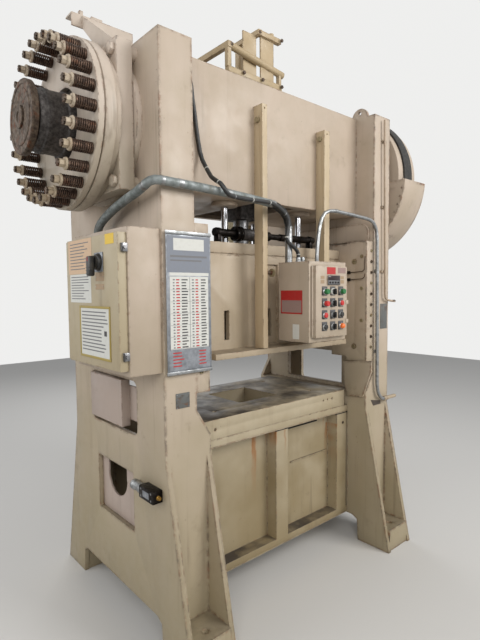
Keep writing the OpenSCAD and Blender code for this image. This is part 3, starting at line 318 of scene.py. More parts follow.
CREAM_TOP, CREAM_LOW = srgb(186, 170, 153), srgb(152, 138, 113)
M = {
    "cream": paint("cream_paint", CREAM_TOP, CREAM_LOW, chips=0.35, dirt=0.45, spots=0.35),
    "frame": paint("frame_paint", CREAM_TOP, srgb(158, 145, 118), chips=1.0, dirt=0.75, spots=0.8,
                   edge_r=0.022),
    "bed": paint("bed_paint", srgb(176, 163, 138), srgb(140, 124, 92), 0.15, 1.0, chips=0.8,
                 dirt=0.8, spots=0.8, top_dirt=1.0,
                 streaks=((692, 824, 420, 22, 0.95), (790, 818, 690, 12, 0.9),
                          (868, 812, 640, 9, 0.6), (1322, 750, 480, 20, 0.8),
                          (1290, 815, 690, 10, 0.5), (300, 824, 640, 12, 0.35))),
    "slide": paint("slide_paint", srgb(182, 166, 144), srgb(168, 152, 128), 1.2, 1.8, chips=0.4,
                   dirt=0.5, spots=0.3),
    "bars": paint("bar_paint", srgb(190, 172, 142), srgb(182, 162, 132), 1.2, 2.5, chips=0.3,
                  dirt=0.3, spots=0.4),
    "brake": paint("brake_paint", srgb(200, 186, 172), srgb(170, 158, 140), 1.9, 2.6, chips=0.45,
                   dirt=0.7, spots=0.5),
    # The cabinet door: the cream of its box made darker and more olive, which is painted shade on
    # its face turned from the light
    "door": paint("door_paint", srgb(176, 164, 138), srgb(168, 154, 126), 1.2, 1.9, chips=0.3,
                  dirt=0.45, spots=0.25),
    "tan": paint("tan_paint", srgb(178, 158, 126), srgb(166, 146, 112), 2.6, 2.9, chips=0.4,
                 dirt=0.5, spots=0.4),
    "pink": paint("pink_paint", srgb(184, 168, 158), srgb(170, 154, 143), 0.8, 2.6, chips=0.6,
                  dirt=0.6, spots=0.6),
    "olive": paint("olive_paint", srgb(150, 138, 108), srgb(128, 116, 86), 0.8, 2.4, chips=0.4,
                   dirt=0.6, spots=0.4),
    "steel": metal("machined_steel", srgb(150, 150, 152), rough=0.32, spots=0.25),
    "chrome": metal("chrome_rod", srgb(215, 216, 220), srgb(170, 172, 178), rough=0.10, spots=0.0,
                    bump=0.02),
    "dark": metal("dark_steel", srgb(52, 48, 46), srgb(24, 22, 21), rough=0.36, spots=0.3),
    "spring": metal("spring_steel", srgb(104, 82, 68), srgb(52, 40, 34), rough=0.42, metallic=0.65,
                    spots=0.55, spot_colour=srgb(92, 56, 36)),
    "rusty": metal("rusty_steel", srgb(98, 84, 70), srgb(52, 40, 32), rough=0.55, metallic=0.5,
                   spots=0.8, spot_colour=srgb(94, 54, 30)),
    "cast": metal("cast_grey", srgb(92, 88, 86), srgb(50, 46, 44), rough=0.45, metallic=0.5,
                  spots=0.3),
    "bronze": metal("bronze", srgb(176, 138, 74), rough=0.35, spots=0.2),
    "lining": metal("lining", srgb(70, 60, 50), rough=0.8, metallic=0.0),
    "zinc": metal("galvanised", srgb(176, 178, 180), srgb(128, 130, 130), rough=0.30, grain=34,
                  spots=0.25, spot_colour=srgb(104, 100, 92), bump=0.06),
    "conduit": metal("conduit_grey", srgb(142, 148, 148), srgb(104, 110, 108), rough=0.48,
                     metallic=0.35, grain=30, spots=0.35, spot_colour=srgb(110, 100, 86)),
    "black": plastic("black_plastic", srgb(26, 26, 27), 0.4, 0.25),
    "cable": plastic("black_cable", srgb(30, 32, 34), 0.45, 0.3),
    "belt": plastic("belt_rubber", srgb(26, 25, 24), 0.7, 0.4),
    "green": plastic("green_plastic", srgb(30, 112, 58), 0.3),
    "red": plastic("red_plastic", srgb(196, 42, 40), 0.3),
    "orange": plastic("orange_lamp", srgb(240, 120, 50), 0.2, 0.05),
    "legend": metal("legend", srgb(168, 170, 172), rough=0.35, grain=90, spots=0.1),
    "white": plastic("white_label", srgb(208, 208, 202), 0.6, 0.15),
    "alu": metal("aluminium_sheet", srgb(150, 154, 160), rough=0.42, metallic=0.6, grain=24,
                 spots=0.15, bump=0.03),
    "blue": plastic("blue_grey_print", srgb(122, 127, 137), 0.55, 0.25),
    "redprint": plastic("red_print", srgb(176, 34, 34), 0.5, 0.15),
    "pinkprint": plastic("pink_print", srgb(150, 124, 118), 0.6, 0.3),
    "greyprint": plastic("grey_print", srgb(110, 110, 112), 0.6, 0.2),
    "darkprint": plastic("dark_print", srgb(58, 56, 58), 0.6, 0.15),
    "peach": plastic("peach_sheet", srgb(206, 176, 146), 0.65, 0.2),
    "mustard": plastic("mustard_frame", srgb(158, 138, 66), 0.5, 0.3),
    "yellow": plastic("yellow_tag", srgb(222, 186, 60), 0.5, 0.15),
    "tanlabel": plastic("tan_label", srgb(160, 136, 108), 0.6, 0.3),
    "window": plastic("dark_window", srgb(38, 16, 20), 0.12, 0.1),
    # Near-black sheet for slots and openings: painted shade in place of their depth
    "hole": plastic("painted_gap_shade", srgb(20, 17, 15), 0.8, 0.1),
    # Painted shadow in the gap under the slanted cover on the right upright
    "cover_gap_shadow": paint("painted_cover_shadow", srgb(74, 64, 54), srgb(60, 50, 42), chips=0.3, dirt=0.9,
                   spots=0.9),
    "slate": paint("slate_plate", srgb(96, 98, 96), srgb(84, 86, 84), chips=0.2, dirt=0.5,
                   spots=0.3),
    "nut": paint("cup_paint", srgb(186, 172, 152), srgb(170, 154, 130), 1.9, 2.6, chips=1.0,
                 dirt=0.9, spots=1.0),
    "pipe": paint("pipe_paint", srgb(176, 158, 138), srgb(150, 128, 102), chips=0.5, dirt=0.8,
                  spots=0.6),
}

CAD_MATS = {
    "frame": "left_upright right_upright gibs gib_plates motor_bracket flywheel_guard",
    "cream": "crown counterbalance_cylinders cabinet_box panel_box panel_door flywheel",
    "bed": "bed bolster", "slide": "slide", "bars": "knockout_bars",
    "brake": "brake_plate brake_bolts brake_housing pressure_ring top_beam",
    "door": "cabinet_door", "tan": "top_frame", "pink": "side_covers", "olive": "frame_bolts motor",
    "steel": "crankshaft adjusting_screw door_clamps", "chrome": "counterbalance_rods",
    "dark": "adjust_shaft air_valve", "spring": "brake_springs", "rusty": "spring_studs end_disc",
    "cast": "pitman brake_hub motor_sheave", "bronze": "main_bushings flywheel_bearing",
    "lining": "friction_disc",
    "zinc": "air_pipe", "conduit": "conduits", "cable": "cables", "belt": "drive_belt",
    "black": "disconnect_handle mode_selector count_selector light_selector brake_selector "
             "bar_button air_button",
    "green": "start_button inch_button", "red": "stop_button top_stop_button reset_button",
    "orange": "fault_button", "legend": "legend_plates", "white": "chart_sign",
}
MAT_OF = {n: k for k, names in CAD_MATS.items() for n in names.split()}
SLOT_OF = {s["node"]: s["material_slot"] for s in frame["record"]["subparts"]}
BODY_OF = {n: b for b, names in frame["record"]["behaviour"]["bodies"].items() for n in names}
for name, obj in NODES.items():
    obj.data.materials.clear()
    obj.data.materials.append(M[MAT_OF[name]])

# ---- making pieces


def piece(name, mesh, mats, smooth, node=None, body=None):
    """A mesh as a piece of the visual model, on a node's body or on the body given."""
    obj = bpy.data.objects.new(name, mesh)
    bpy.context.scene.collection.objects.link(obj)
    for k in mats:
        mesh.materials.append(M[k])
    for p in mesh.polygons:
        p.use_smooth = True
    mesh.set_sharp_from_angle(angle=radians(smooth))
    if node:
        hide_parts(node)
    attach(obj, body or BODY_OF[node])
    return obj


# Points nearer than MERGE metres are one. Edges flatter than FLAT go, and those sharper than
# ROUND_OVER in a CAD node, or SHARP in a Shape, are rounded
MERGE, FLAT, ROUND_OVER, SHARP = 1e-6, radians(1), radians(28), radians(30)


def round_edges(bm, edges, width, limit):
    """Rounds the edges sharper than limit by width millimetres."""
    sharp = [e for e in edges if len(e.link_faces) == 2 and e.calc_face_angle(0) > limit]
    bmesh.ops.bevel(
        bm, geom=sharp, offset=width / 1000, segments=2, profile=0.5, affect="EDGES",
        clamp_overlap=True, material=-1)


def rounded(node, width):
    """A copy of a CAD node with its sharp edges rounded by width millimetres."""
    bm = bmesh.new()
    bm.from_mesh(NODES[node].data)
    bmesh.ops.remove_doubles(bm, verts=bm.verts, dist=MERGE)
    bmesh.ops.dissolve_limit(bm, angle_limit=FLAT, verts=bm.verts, edges=bm.edges)
    round_edges(bm, bm.edges, width, ROUND_OVER)
    mesh = bpy.data.meshes.new(node + "_rounded")
    bm.to_mesh(mesh)
    bm.free()
    piece(node + "_rounded", mesh, [MAT_OF[node]], 35, node=node)


for name, width in (
        ("left_upright", 3), ("right_upright", 3), ("crown", 3), ("bed", 2.5), ("bolster", 2),
        ("slide", 2), ("knockout_bars", 2), ("gibs", 2), ("brake_plate", 3), ("cabinet_box", 3),
        ("cabinet_door", 2), ("panel_box", 2), ("panel_door", 2), ("brake_bolts", 2),
        ("gib_plates", 2), ("pressure_ring", 2), ("flywheel", 3), ("motor_bracket", 2),
        ("top_beam", 1.5), ("top_frame", 1.5), ("side_covers", 1.5), ("brake_housing", 2),
        ("counterbalance_cylinders", 2), ("motor_sheave", 2), ("flywheel_guard", 1),
        ("drive_belt", 2), ("pitman", 3)):
    rounded(name, width)


# The slanted cover on the right upright is cream, the plates on the left one are pinkish
covers = bpy.data.objects["side_covers_rounded"].data
covers.materials.append(M["frame"])
for poly in covers.polygons:
    if poly.center.x > at(1400, 0, 0).x:
        poly.material_index = 1


class Shape:
    """Gathers simple solids, given in press millimetres, into one piece."""

    def __init__(self):
        self.bm = bmesh.new()
        self.mats = []

    def _close(self, verts, mat, bevel):
        if mat not in self.mats:
            self.mats.append(mat)
        # Dicts keep the order in which the faces and edges are met
        faces = dict.fromkeys(f for v in verts for f in v.link_faces)
        for f in faces:
            f.material_index = self.mats.index(mat)
        if bevel:
            round_edges(
                self.bm, dict.fromkeys(e for f in faces for e in f.edges), bevel, SHARP)

    def box(self, x0, x1, y0, y1, z0, z1, mat, bevel=0.8, turn=None):
        """A box between two planes on each axis; turn is a rotation about its middle."""
        made = bmesh.ops.create_cube(self.bm, size=1)["verts"]
        mid = at((x0 + x1) / 2, (y0 + y1) / 2, (z0 + z1) / 2)
        size = Vector((x1 - x0, y1 - y0, z1 - z0)) / 1000
        for v in made:
            v.co = Vector((v.co.x * size.x, v.co.y * size.y, v.co.z * size.z))
            if turn:
                v.co = turn @ v.co
            v.co += mid
        self._close(made, mat, bevel)

    def flat(self, x0, x1, y0, y1, z0, z1, mat):
        """A thin field of colour, or a mark."""
        self.box(x0, x1, y0, y1, z0, z1, mat, bevel=0)

    def lathe(self, place, axis, profile, mat, seg=32, bevel=0, spin=0.0):
        """Turns (radius, height) points in mm about an axis; heights run along it from place."""
        axis = Vector(axis).normalized()
        u = axis.orthogonal().normalized()
        # Six-sided heads on level axes all start from the same side
        if abs(axis.z) < 0.9:
            u = Vector(UP).cross(axis).normalized()
        w = axis.cross(u)
        base = at(*place)
        rows, made = [], []
        for r, h in profile:
            middle = base + axis * (h / 1000)
            if r == 0:
                row = [self.bm.verts.new(middle)]
            else:
                row = [self.bm.verts.new(middle + (u * cos(t) + w * sin(t)) * (r / 1000))
                       for t in (spin + 2 * pi * k / seg for k in range(seg))]
            rows.append(row)
            made += row
        for a, b in zip(rows, rows[1:]):
            for k in range(seg):
                ring = [a[k % len(a)], a[(k + 1) % len(a)], b[(k + 1) % len(b)], b[k % len(b)]]
                ring = list(dict.fromkeys(ring))
                if len(ring) > 2:
                    self.bm.faces.new(ring)
        for row, flip in ((rows[0], True), (rows[-1], False)):
            if len(row) > 1:
                self.bm.faces.new(list(reversed(row)) if flip else row)
        self._close(made, mat, bevel)

    def cyl(self, place, axis, length, r, mat, seg=32, bevel=0.8, spin=0.0):
        self.lathe(place, axis, [(r, 0), (r, length)], mat, seg, bevel, spin)

    def sweep(self, pts, r, mat, rings=10):
        """A tube through points in press millimetres."""
        pts = [at(*p) for p in pts]
        n, prev, rows = len(pts), None, []
        for i, p in enumerate(pts):
            d = (pts[min(i + 1, n - 1)] - pts[max(i - 1, 0)]).normalized()
            prev = d.orthogonal() if prev is None else prev - d * prev.dot(d)
            prev = prev.normalized()
            oth = d.cross(prev)
            rows.append([self.bm.verts.new(p + r / 1000 * (prev * cos(t) + oth * sin(t)))
                         for t in (2 * pi * k / rings for k in range(rings))])
        for a, b in zip(rows, rows[1:]):
            for k in range(rings):
                self.bm.faces.new((a[k], a[(k + 1) % rings], b[(k + 1) % rings], b[k]))
        self.bm.faces.new(list(reversed(rows[0])))
        self.bm.faces.new(rows[-1])
        self._close([v for row in rows for v in row], mat, 0)

    def prism(self, pts, lo, hi, mat):
        """An outline of (x, z) points extruded along Y."""
        a, b = ([self.bm.verts.new(at(x, y, z)) for x, z in pts] for y in (lo, hi))
        self.bm.faces.new(a)
        self.bm.faces.new(list(reversed(b)))
        for k in range(len(pts)):
            j = (k + 1) % len(pts)
            self.bm.faces.new((a[k], b[k], b[j], a[j]))
        self._close(a + b, mat, 0)

    def done(self, name, body, slot, nodes=(), smooth=38):
        """Makes the piece, which stands for the CAD nodes given."""
        bmesh.ops.recalc_face_normals(self.bm, faces=self.bm.faces)
        mesh = bpy.data.meshes.new(name)
        self.bm.to_mesh(mesh)
        self.bm.free()
        obj = piece(name, mesh, self.mats, smooth, body=body)
        if nodes:
            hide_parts(*nodes)
        return obj


def on_circle(y, z, r, t):
    """Y and Z of a point on a circle about an axis along X."""
    return y + r * cos(t), z + r * sin(t)


# ---- brake

# Springs on a circle between the pressure ring and the nuts of the studs, which start at the drum
SPRING_R, SPRING_N, FIRST_SPRING = 335.0, 26, 40.3
RING_X, NUT_X, DRUM_X = -211.0, -299.0, -178.0
# Wire radius, the coil's outer radius, its turns, and the turns at each end that lie close
WIRE, COIL_R, TURNS, CLOSE_TURNS, STEPS_PER_TURN = 3.7, 25, 10.5, 0.9, 14
spring_at = []
for i in range(SPRING_N):
    a = radians(i * 360 / SPRING_N - FIRST_SPRING)
    spring_at.append((MID_Y - SPRING_R * cos(a), CRANK_Z - SPRING_R * sin(a)))

coils = Shape()
for y, z in spring_at:
    x0, x1 = NUT_X + 2.3 + WIRE, RING_X - WIRE
    phase = RNG.uniform(0, 6.28)
    pts = []
    steps = int(TURNS * STEPS_PER_TURN)
    for k in range(steps + 1):
        t = k / steps
        s = min(max((t * TURNS - CLOSE_TURNS) / (TURNS - 2 * CLOSE_TURNS), 0), 1)
        ang = phase + 2 * pi * TURNS * t
        pts.append((x1 + (x0 - x1) * s, *on_circle(y, z, COIL_R - WIRE, ang)))
    coils.sweep(pts, WIRE, "spring", rings=7)
coils.done("brake_spring_coils", "brake_ring", "spring_steel", ["brake_springs"], smooth=60)

# How far from the stud's axis the nut's castellations stand
CASTLE_R = 11.3
studs = Shape()
for y, z in spring_at:
    spin = RNG.uniform(0, 1)
    studs.cyl((DRUM_X, y, z), LEFT, 159, 8, "rusty", seg=12, bevel=0)
    studs.lathe(
        (NUT_X, y, z), LEFT, [(8.2, 0), (26, 0), (26.5, 2), (24, 8), (15, 9), (8.2, 9)], "nut",
        seg=24)
    studs.cyl((NUT_X - 8.5, y, z), LEFT, 22, 17, "nut", seg=6, bevel=1.2, spin=spin)
    for k in range(6):
        t = spin + radians(60 * k + 30)
        ny, nz = on_circle(y, z, CASTLE_R, t)
        studs.box(
            NUT_X - 38, NUT_X - 30, ny - 3, ny + 3, nz - 4.4, nz + 4.4, "rusty", bevel=0,
            turn=Matrix.Rotation(t, 3, "X"))
studs.done("brake_stud_nuts", "frame", "rusty_steel", ["spring_studs"], smooth=30)

hub = Shape()
hub.lathe(
    (0, MID_Y, CRANK_Z), LEFT, [(65.1, 178.5), (140, 178.5), (140, 230), (134, 236), (133, 290),
    (136, 296), (136, 318), (131, 324), (131, 340), (126, 350), (65.1, 350)], "cast", seg=64)
for k in range(8):
    t = radians(45 * k + 12)
    hub.cyl((-236, *on_circle(MID_Y, CRANK_Z, 112, t)), LEFT, 0.5, 9, "dark", seg=16, bevel=0)
hub.done("brake_hub_turned", "crank", "cast", ["brake_hub"])

end = Shape()
end.lathe(
    (0, MID_Y, CRANK_Z), LEFT, [(0, 350), (100, 350), (100, 362), (151, 362), (155, 366),
    (155, 386), (151, 391), (134, 392), (131, 389), (118, 389), (115, 392), (84, 392), (81, 390),
    (64, 390), (60, 392), (48, 392), (48, 400), (45, 402), (22, 402), (20, 398), (0, 398)], "rusty",
    seg=64)
end.done("end_disc_turned", "crank", "rusty_steel", ["end_disc"])

# ---- chart sign

# Faces of the sign's sheet, of the fields on it and of the print on them, and the rods' places
SHEET, FIELD, PRINT = -13.2, -13.8, -14.1
SIGN_BOLT_X = (25, 140)
sign = Shape()
sign.box(9, 239, SHEET, -11.4, 1246, 1844, "alu", bevel=0.5)
for z in (1250, 1840):
    sign.box(5, 240, -18, -13, z - 7, z + 7, "zinc", bevel=1.2)
    for x in SIGN_BOLT_X:
        sign.cyl((x, -13, z), FRONT, 4.5, 7, "zinc", seg=6, bevel=0.6)
for x in SIGN_BOLT_X:
    for z in (1270, 1820):
        sign.cyl((x, -11.4, z), REAR, 11.4, 6, "zinc", seg=16)
sign.flat(15, 232, FIELD, SHEET, 1675, 1826, "blue")
sign.flat(46, 203, PRINT - 0.1, FIELD, 1767, 1817, "white")
sign.flat(30, 218, PRINT, FIELD, 1738, 1746, "greyprint")
sign.flat(30, 190, PRINT, FIELD, 1722, 1728, "greyprint")
sign.flat(25, 227, FIELD, SHEET, 1661, 1674, "white")
sign.flat(26, 224, FIELD, SHEET, 1351, 1657, "white")
ROWS, ROW_STEP, FIRST_ROW = 24, 12.4, 1648
for k in range(ROWS):
    z = FIRST_ROW - k * ROW_STEP
    for x0, x1, mat in (
            (57, 76, "redprint"), (156, 174, "redprint"), (84, 117, "darkprint"),
            (185, 215, "darkprint"), (41, 51, "greyprint"), (137, 151, "greyprint")):
        cut = RNG.uniform(0, 0.35) * (x1 - x0)
        sign.flat(x0, x1 - cut, PRINT, FIELD, z - 6.5, z - 1.5, mat)
    if k % 4 == 3:
        sign.flat(28, 222, PRINT + 0.1, FIELD, z - 9.4, z - 8.4, "greyprint")
sign.flat(125, 127, PRINT + 0.1, FIELD, 1353, 1655, "greyprint")
sign.flat(17, 229, FIELD, SHEET, 1262, 1349, "alu")
for z in (1336, 1322, 1308, 1294, 1280):
    sign.flat(37, 94 - RNG.uniform(0, 18), PRINT, FIELD, z - 3, z + 2, "redprint")
    sign.flat(171, 215 - RNG.uniform(0, 12), PRINT, FIELD, z - 3, z + 2, "redprint")
# The small blank plate below the sign
sign.box(54, 125, -2, 0, 1093, 1159, "slate", bevel=0.6)
for x, z in ((59, 1098), (120, 1098), (59, 1154), (120, 1154)):
    sign.cyl((x, -1.9, z), FRONT, 1.5, 2.5, "zinc", seg=10, bevel=0.3)
sign.done("chart_sign_detail", "frame", "chart_sheet", ["chart_sign"])

# ---- cabinet door: papers, disconnect, clamps

# The door's outer face
DOOR_X = -188.4
papers = Shape()
papers.flat(DOOR_X - 0.8, DOOR_X, 258, 509, 1676, 1827, "peach")
papers.flat(DOOR_X - 0.9, DOOR_X, 270, 495, 1549, 1674, "white")
for y0, y1, z0, n, step in ((276, 488, 1812, 9, 14), (284, 482, 1664, 9, 12)):
    for k in range(n):
        papers.box(
            DOOR_X - 1.1, DOOR_X - 0.7, y0 + RNG.uniform(0, 70), y1, z0 - k * step - 4,
            z0 - k * step, "greyprint", bevel=0)
for y0, y1, z0, z1 in (
        (94, 394, 1526, 1536), (94, 394, 1311, 1321), (94, 104, 1321, 1526),
        (384, 394, 1321, 1526)):
    papers.box(DOOR_X - 3.5, DOOR_X, y0, y1, z0, z1, "mustard", bevel=1)
papers.flat(DOOR_X - 1.6, DOOR_X, 103, 385, 1320, 1527, "white")
for k in range(12):
    indent = 60 if 4 < k < 9 else RNG.uniform(0, 40)
    papers.flat(
        DOOR_X - 2.0, DOOR_X - 1.6, 118 + indent, 372, 1508 - k * 15, 1513 - k * 15, "greyprint")
papers.flat(DOOR_X - 2.1, DOOR_X - 1.6, 127, 151, 1413, 1434, "darkprint")
papers.flat(DOOR_X - 1.2, DOOR_X, 50, 126, 1787, 1828, "yellow")
papers.flat(DOOR_X - 1.2, DOOR_X, 144, 222, 1641, 1675, "tanlabel")
papers.flat(DOOR_X - 1.2, DOOR_X, 145, 224, 1606, 1629, "tanlabel")
for y, z in ((148, 1658), (218, 1658), (149, 1618), (220, 1618)):
    papers.cyl((DOOR_X - 1.2, y, z), LEFT, 1, 2.2, "zinc", seg=10, bevel=0)
papers.done("cabinet_papers", "cabinet_leaf", "door_paint")

# Face of the disconnect's base, and its axis
BASE_X, HANDLE_Y, HANDLE_Z = -192.5, 186, 1719
plate = Shape()
plate.box(
    BASE_X, DOOR_X, HANDLE_Y - 40, HANDLE_Y + 40, HANDLE_Z - 40, HANDLE_Z + 40, "alu", bevel=0.8)
plate.lathe(
    (BASE_X, HANDLE_Y, HANDLE_Z), LEFT, [(38, 0), (38, 0.3), (34.5, 0.3)], "darkprint", seg=32)
plate.done("disconnect_base", "cabinet_leaf", "black_plastic")
grip = Shape()
grip.lathe(
    (BASE_X - 0.4, HANDLE_Y, HANDLE_Z), LEFT, [(33, 0), (33, 9), (31, 12), (27, 14), (27, 21.5),
    (0, 21.5)], "black", seg=40)
grip.box(-239.4, -214.4, 167, 205, 1661, 1743, "black", bevel=7)
grip.flat(-239.9, -238.8, 183, 189, 1722, 1738, "redprint")
for z in (1672, 1684, 1696):
    grip.box(-240.4, -237, 170, 202, z - 1.5, z + 1.5, "black", bevel=0.8)
grip.done("disconnect_grip", "disconnect", "black_plastic", ["disconnect_handle"])

CLAMP_X = -176.4
clamps = Shape()
for z in (1338, 1770):
    clamps.box(CLAMP_X, -171, 8, 20, z - 17, z + 17, "steel", bevel=1.2)
    clamps.box(CLAMP_X, -150.4, 8, 12, z - 17, z + 17, "steel", bevel=1.2)
    clamps.cyl((-163.4, 8, z), FRONT, 7, 7, "steel", seg=6, bevel=0.8)
    clamps.box(-172, -156, 12, 20, z - 8, z + 8, "steel", bevel=1)
clamps.done("door_clamps_detail", "cabinet_leaf", "machined_steel", ["door_clamps"])

# ---- operator panel

# The first operator, the spacing of the columns and rows, the door's face and the box's left side
OP_X0, OP_Z0, DX, DZ, FACE, PANEL_X = 859.0, 1587.0, 66.0, 60.0, -150.0, 766


def operator_at(column, row):
    return OP_X0 + DX * column, OP_Z0 - DZ * row


legends = Shape()
for r in range(4):
    for c in range(3):
        x, z = operator_at(c, r)
        legends.flat(x - 21, x + 21, FACE - 1.2, FACE, z - 20, z + 26, "darkprint")
        legends.flat(x - 19, x + 19, FACE - 1.5, FACE - 1.1, z + 20.5, z + 23.5, "greyprint")
        legends.flat(x - 14, x + 12, FACE - 1.5, FACE - 1.1, z + 15.5, z + 18.0, "greyprint")
        ring = "white" if (r, c) == (0, 1) else "zinc"
        legends.lathe(
            (x, FACE - 1.0, z), FRONT, [(18, 0), (18, 5.5), (17, 7.5), (15.5, 9), (14.5, 9),
            (14.5, 0.6)], ring, seg=32)
legends.done("legend_rings", "panel_leaf", "legend", ["legend_plates"])

# Each button's column, row and colour, and how far it stands out
PROUD, LOW = 18, 6
BUTTONS = {
    "start": (0, 0, "green", PROUD), "inch": (2, 0, "green", PROUD), "stop": (0, 1, "red", PROUD),
    "top_stop": (2, 1, "red", LOW), "reset": (0, 2, "red", LOW), "bar": (2, 2, "black", LOW),
    "air": (0, 3, "black", LOW), "fault": (2, 3, "orange", PROUD)}
for name, (c, r, mat, out) in BUTTONS.items():
    x, z = operator_at(c, r)
    b = Shape()
    h = 3.1 + out
    if name == "fault":
        prof = [(13.9, 0), (13.9, 8), (13.0, 13), (10.5, 17.5), (6, 20.4), (0, 21)]
    elif out == PROUD:
        prof = [
            (12.6, 0), (12.6, 8), (13.9, 9), (13.9, h - 4), (13.2, h - 1.5), (11, h), (0, h - 0.8)]
    else:
        prof = [(13.9, 0), (13.9, h - 4), (13.2, h - 1.6), (11.5, h - 0.3), (9, h), (0, h - 0.8)]
    b.lathe((x, FACE - 6.9, z), FRONT, prof, mat, seg=32)
    b.done(name + "_cap", name + "_button_body", SLOT_OF[name + "_button"], [name + "_button"])
for r, name in enumerate(("mode", "count", "light", "brake")):
    x, z = operator_at(1, r)
    b = Shape()
    b.lathe(
        (x, FACE - 1.9, z), FRONT, [(13.9, 0), (13.9, 9), (12.8, 11.5), (11, 12.1), (0, 12.1)],
        "black", seg=32)
    b.box(x - 4, x + 4, FACE - 26, FACE - 12, z - 15, z + 15, "black", bevel=1.8)
    b.flat(x - 0.8, x + 0.8, FACE - 26.0, FACE - 25.4, z + 3, z + 14, "white")
    b.done(
        name + "_knob", name + "_selector_body", SLOT_OF[name + "_selector"], [name + "_selector"])

# The counter's window in its bezel with its keys, bare stickers, small labels and hinge knuckles
face = Shape()
face.box(878.6, 979.4, FACE - 5.6, FACE - 4.6, 1620.6, 1669.4, "darkprint", bevel=0.6)
face.box(883, 975, FACE - 6.2, FACE - 5.4, 1647, 1666, "window", bevel=0.4)
face.box(884, 974, FACE - 6.0, FACE - 5.4, 1624, 1643, "greyprint", bevel=0.4)
for k in range(4):
    face.box(890 + 22 * k, 904 + 22 * k, FACE - 7, FACE - 6, 1628, 1638, "dark", bevel=1)
face.flat(878, 948, FACE - 0.6, FACE, 1675, 1711, "redprint")
face.flat(968, 1033, FACE - 0.6, FACE, 1681, 1710, "pinkprint")
for x0, x1 in ((829, 857), (990, 1018)):
    for z0, z1 in ((1651, 1666), (1628, 1646)):
        face.flat(x0, x1, FACE - 0.7, FACE, z0, z1, "tanlabel")
for k in range(14):
    face.lathe(
        (784, -133, 1358 + 25.6 * k), UP, [(4.2, 0), (5, 0.8), (5, 23), (4.2, 24)], "zinc", seg=14)
face.done("panel_face", "panel_leaf", "legend")

# Bare stickers on the box's left side
stickers = Shape()
stickers.flat(PANEL_X - 0.8, PANEL_X, -84, 66, 1473, 1594, "pinkprint")
stickers.flat(PANEL_X - 1.1, PANEL_X - 0.7, -84, 66, 1543, 1594, "redprint")
for y0, y1, z0, z1 in ((-84, -78, 1473, 1543), (60, 66, 1473, 1543), (-84, 66, 1473, 1480)):
    stickers.flat(PANEL_X - 1.1, PANEL_X - 0.7, y0, y1, z0, z1, "redprint")
stickers.flat(PANEL_X - 0.8, PANEL_X, -62, -18, 1344, 1420, "white")
stickers.done("panel_side_stickers", "frame", "chart_sheet")

# ---- conduits and cable


def along(pts, step):
    """Points every step mm along a path, with the direction there."""
    out, left = [], 0.0
    for a, b in zip(pts, pts[1:]):
        a, b = Vector(a), Vector(b)
        d, ln = (b - a).normalized(), (b - a).length
        t = left
        while t < ln:
            out.append((a + d * t, d))
            t += step
        left = t - ln
    return out


def ribs(path, step, profile, mat):
    """Rings of one profile along a flexible conduit."""
    for q, d in along(path, step):
        pipes.lathe(q, d, profile, mat, seg=14)


pipes = Shape()
# Where the thin conduit runs in front of the right upright
THIN_Y = -23
flex = [
    (-60, y, z) for y, z in ((470, 1854), (470, 1874), (460, 1895), (436, 1915), (390, 1935),
    (340, 1952), (287, 1967), (240, 1978), (192, 1988), (150, 1996), (105, 2004), (70, 2012),
    (40, 2020))]
pipes.sweep(flex, 17.6, "conduit", rings=14)
ribs(flex, 7.0, [(17.8, -2.4), (19.7, -1.2), (19.7, 1.2), (17.8, 2.4)], "conduit")
rigid = [
    (-60, 40, 2020), (-60, 14, 2028), (-56, -10, 2035), (-44, -26, 2039), (-22, -30, 2040),
    (0, -30, 2040), (180, -29, 2037), (300, -18, 2036), (440, -2, 2034), (560, 14, 2032),
    (650, 22, 2028)]
pipes.sweep(rigid, 19, "conduit", rings=16)
drop = [
    (650, 22, 2028), (700, 27, 2019), (745, 30, 1999), (775, 32, 1970), (790, 34, 1935),
    (793, 35, 1915)]
pipes.sweep(drop, 18.2, "cable", rings=16)
ribs(drop, 6.5, [(18.2, -2.2), (19.8, -1.1), (19.8, 1.1), (18.2, 2.2)], "cable")
pipes.sweep([(793, 35, 1915), (793, 35, 1740)], 19.2, "zinc", rings=20)
for q, d, w in (
        ((-60, 38, 2020.6), (0, -1, 0.28), 24), ((-22, -30, 2040), RIGHT, 16),
        ((60, -29.7, 2039), RIGHT, 26), ((330, -14.5, 2035.6), (1, 0.11, 0), 30),
        ((640, 21, 2028.6), (1, 0.1, -0.05), 34)):
    pipes.lathe(q, d, [(19, 0), (20, 1), (20, w - 1), (19, w)], "zinc", seg=20)
for z, w in ((1918, 10), (1896, 8), (1760, 12), (1740.4, 6)):
    pipes.lathe((793, 35, z), UP, [(19, 0), (20, 1), (20, w - 1), (19, w)], "zinc", seg=20)
thin = [
    (x, THIN_Y, z) for x, z in ((951, 1740), (951, 1780), (956, 1830), (966, 1900), (976, 1943),
    (992, 1982), (1018, 2011), (1055, 2026), (1105, 2031), (1240, 2026), (1390, 2018), (1440, 2013),
    (1474, 2001), (1500, 1975), (1514, 1945), (1520, 1905), (1534, 1010), (1538, 975), (1550, 943),
    (1570, 918), (1588, 905), (1606, 900))]
pipes.sweep(thin, 10.4, "zinc", rings=16)
for x, z, d, w in (
        (951, 1741, UP, 16), (1105, 2031, RIGHT, 20), (1523.4, 1690, UP, 20),
        (1529.4, 1300, UP, 20), (1600, 901.6, (1, 0, -0.2), 14)):
    pipes.lathe((x, THIN_Y, z), d, [(10.6, 0), (11.6, 1), (11.6, w - 1), (10.6, w)], "zinc", seg=16)
pipes.lathe(
    (1606.2, THIN_Y, 900), RIGHT, [(12, 0), (15, 2), (15, 16), (12.5, 18), (12.5, 30), (14, 31),
    (14, 43), (11.8, 44), (11.8, 128), (10.5, 133.8), (0, 133.8)], "nut", seg=24)
for z in (1200, 1700):
    pipes.box(1522, 1560, -11.8, 0, z, z + 18, "zinc", bevel=1)
    pipes.cyl((1550, -11.8, z + 9), FRONT, 5, 6, "zinc", seg=6, bevel=0.6)
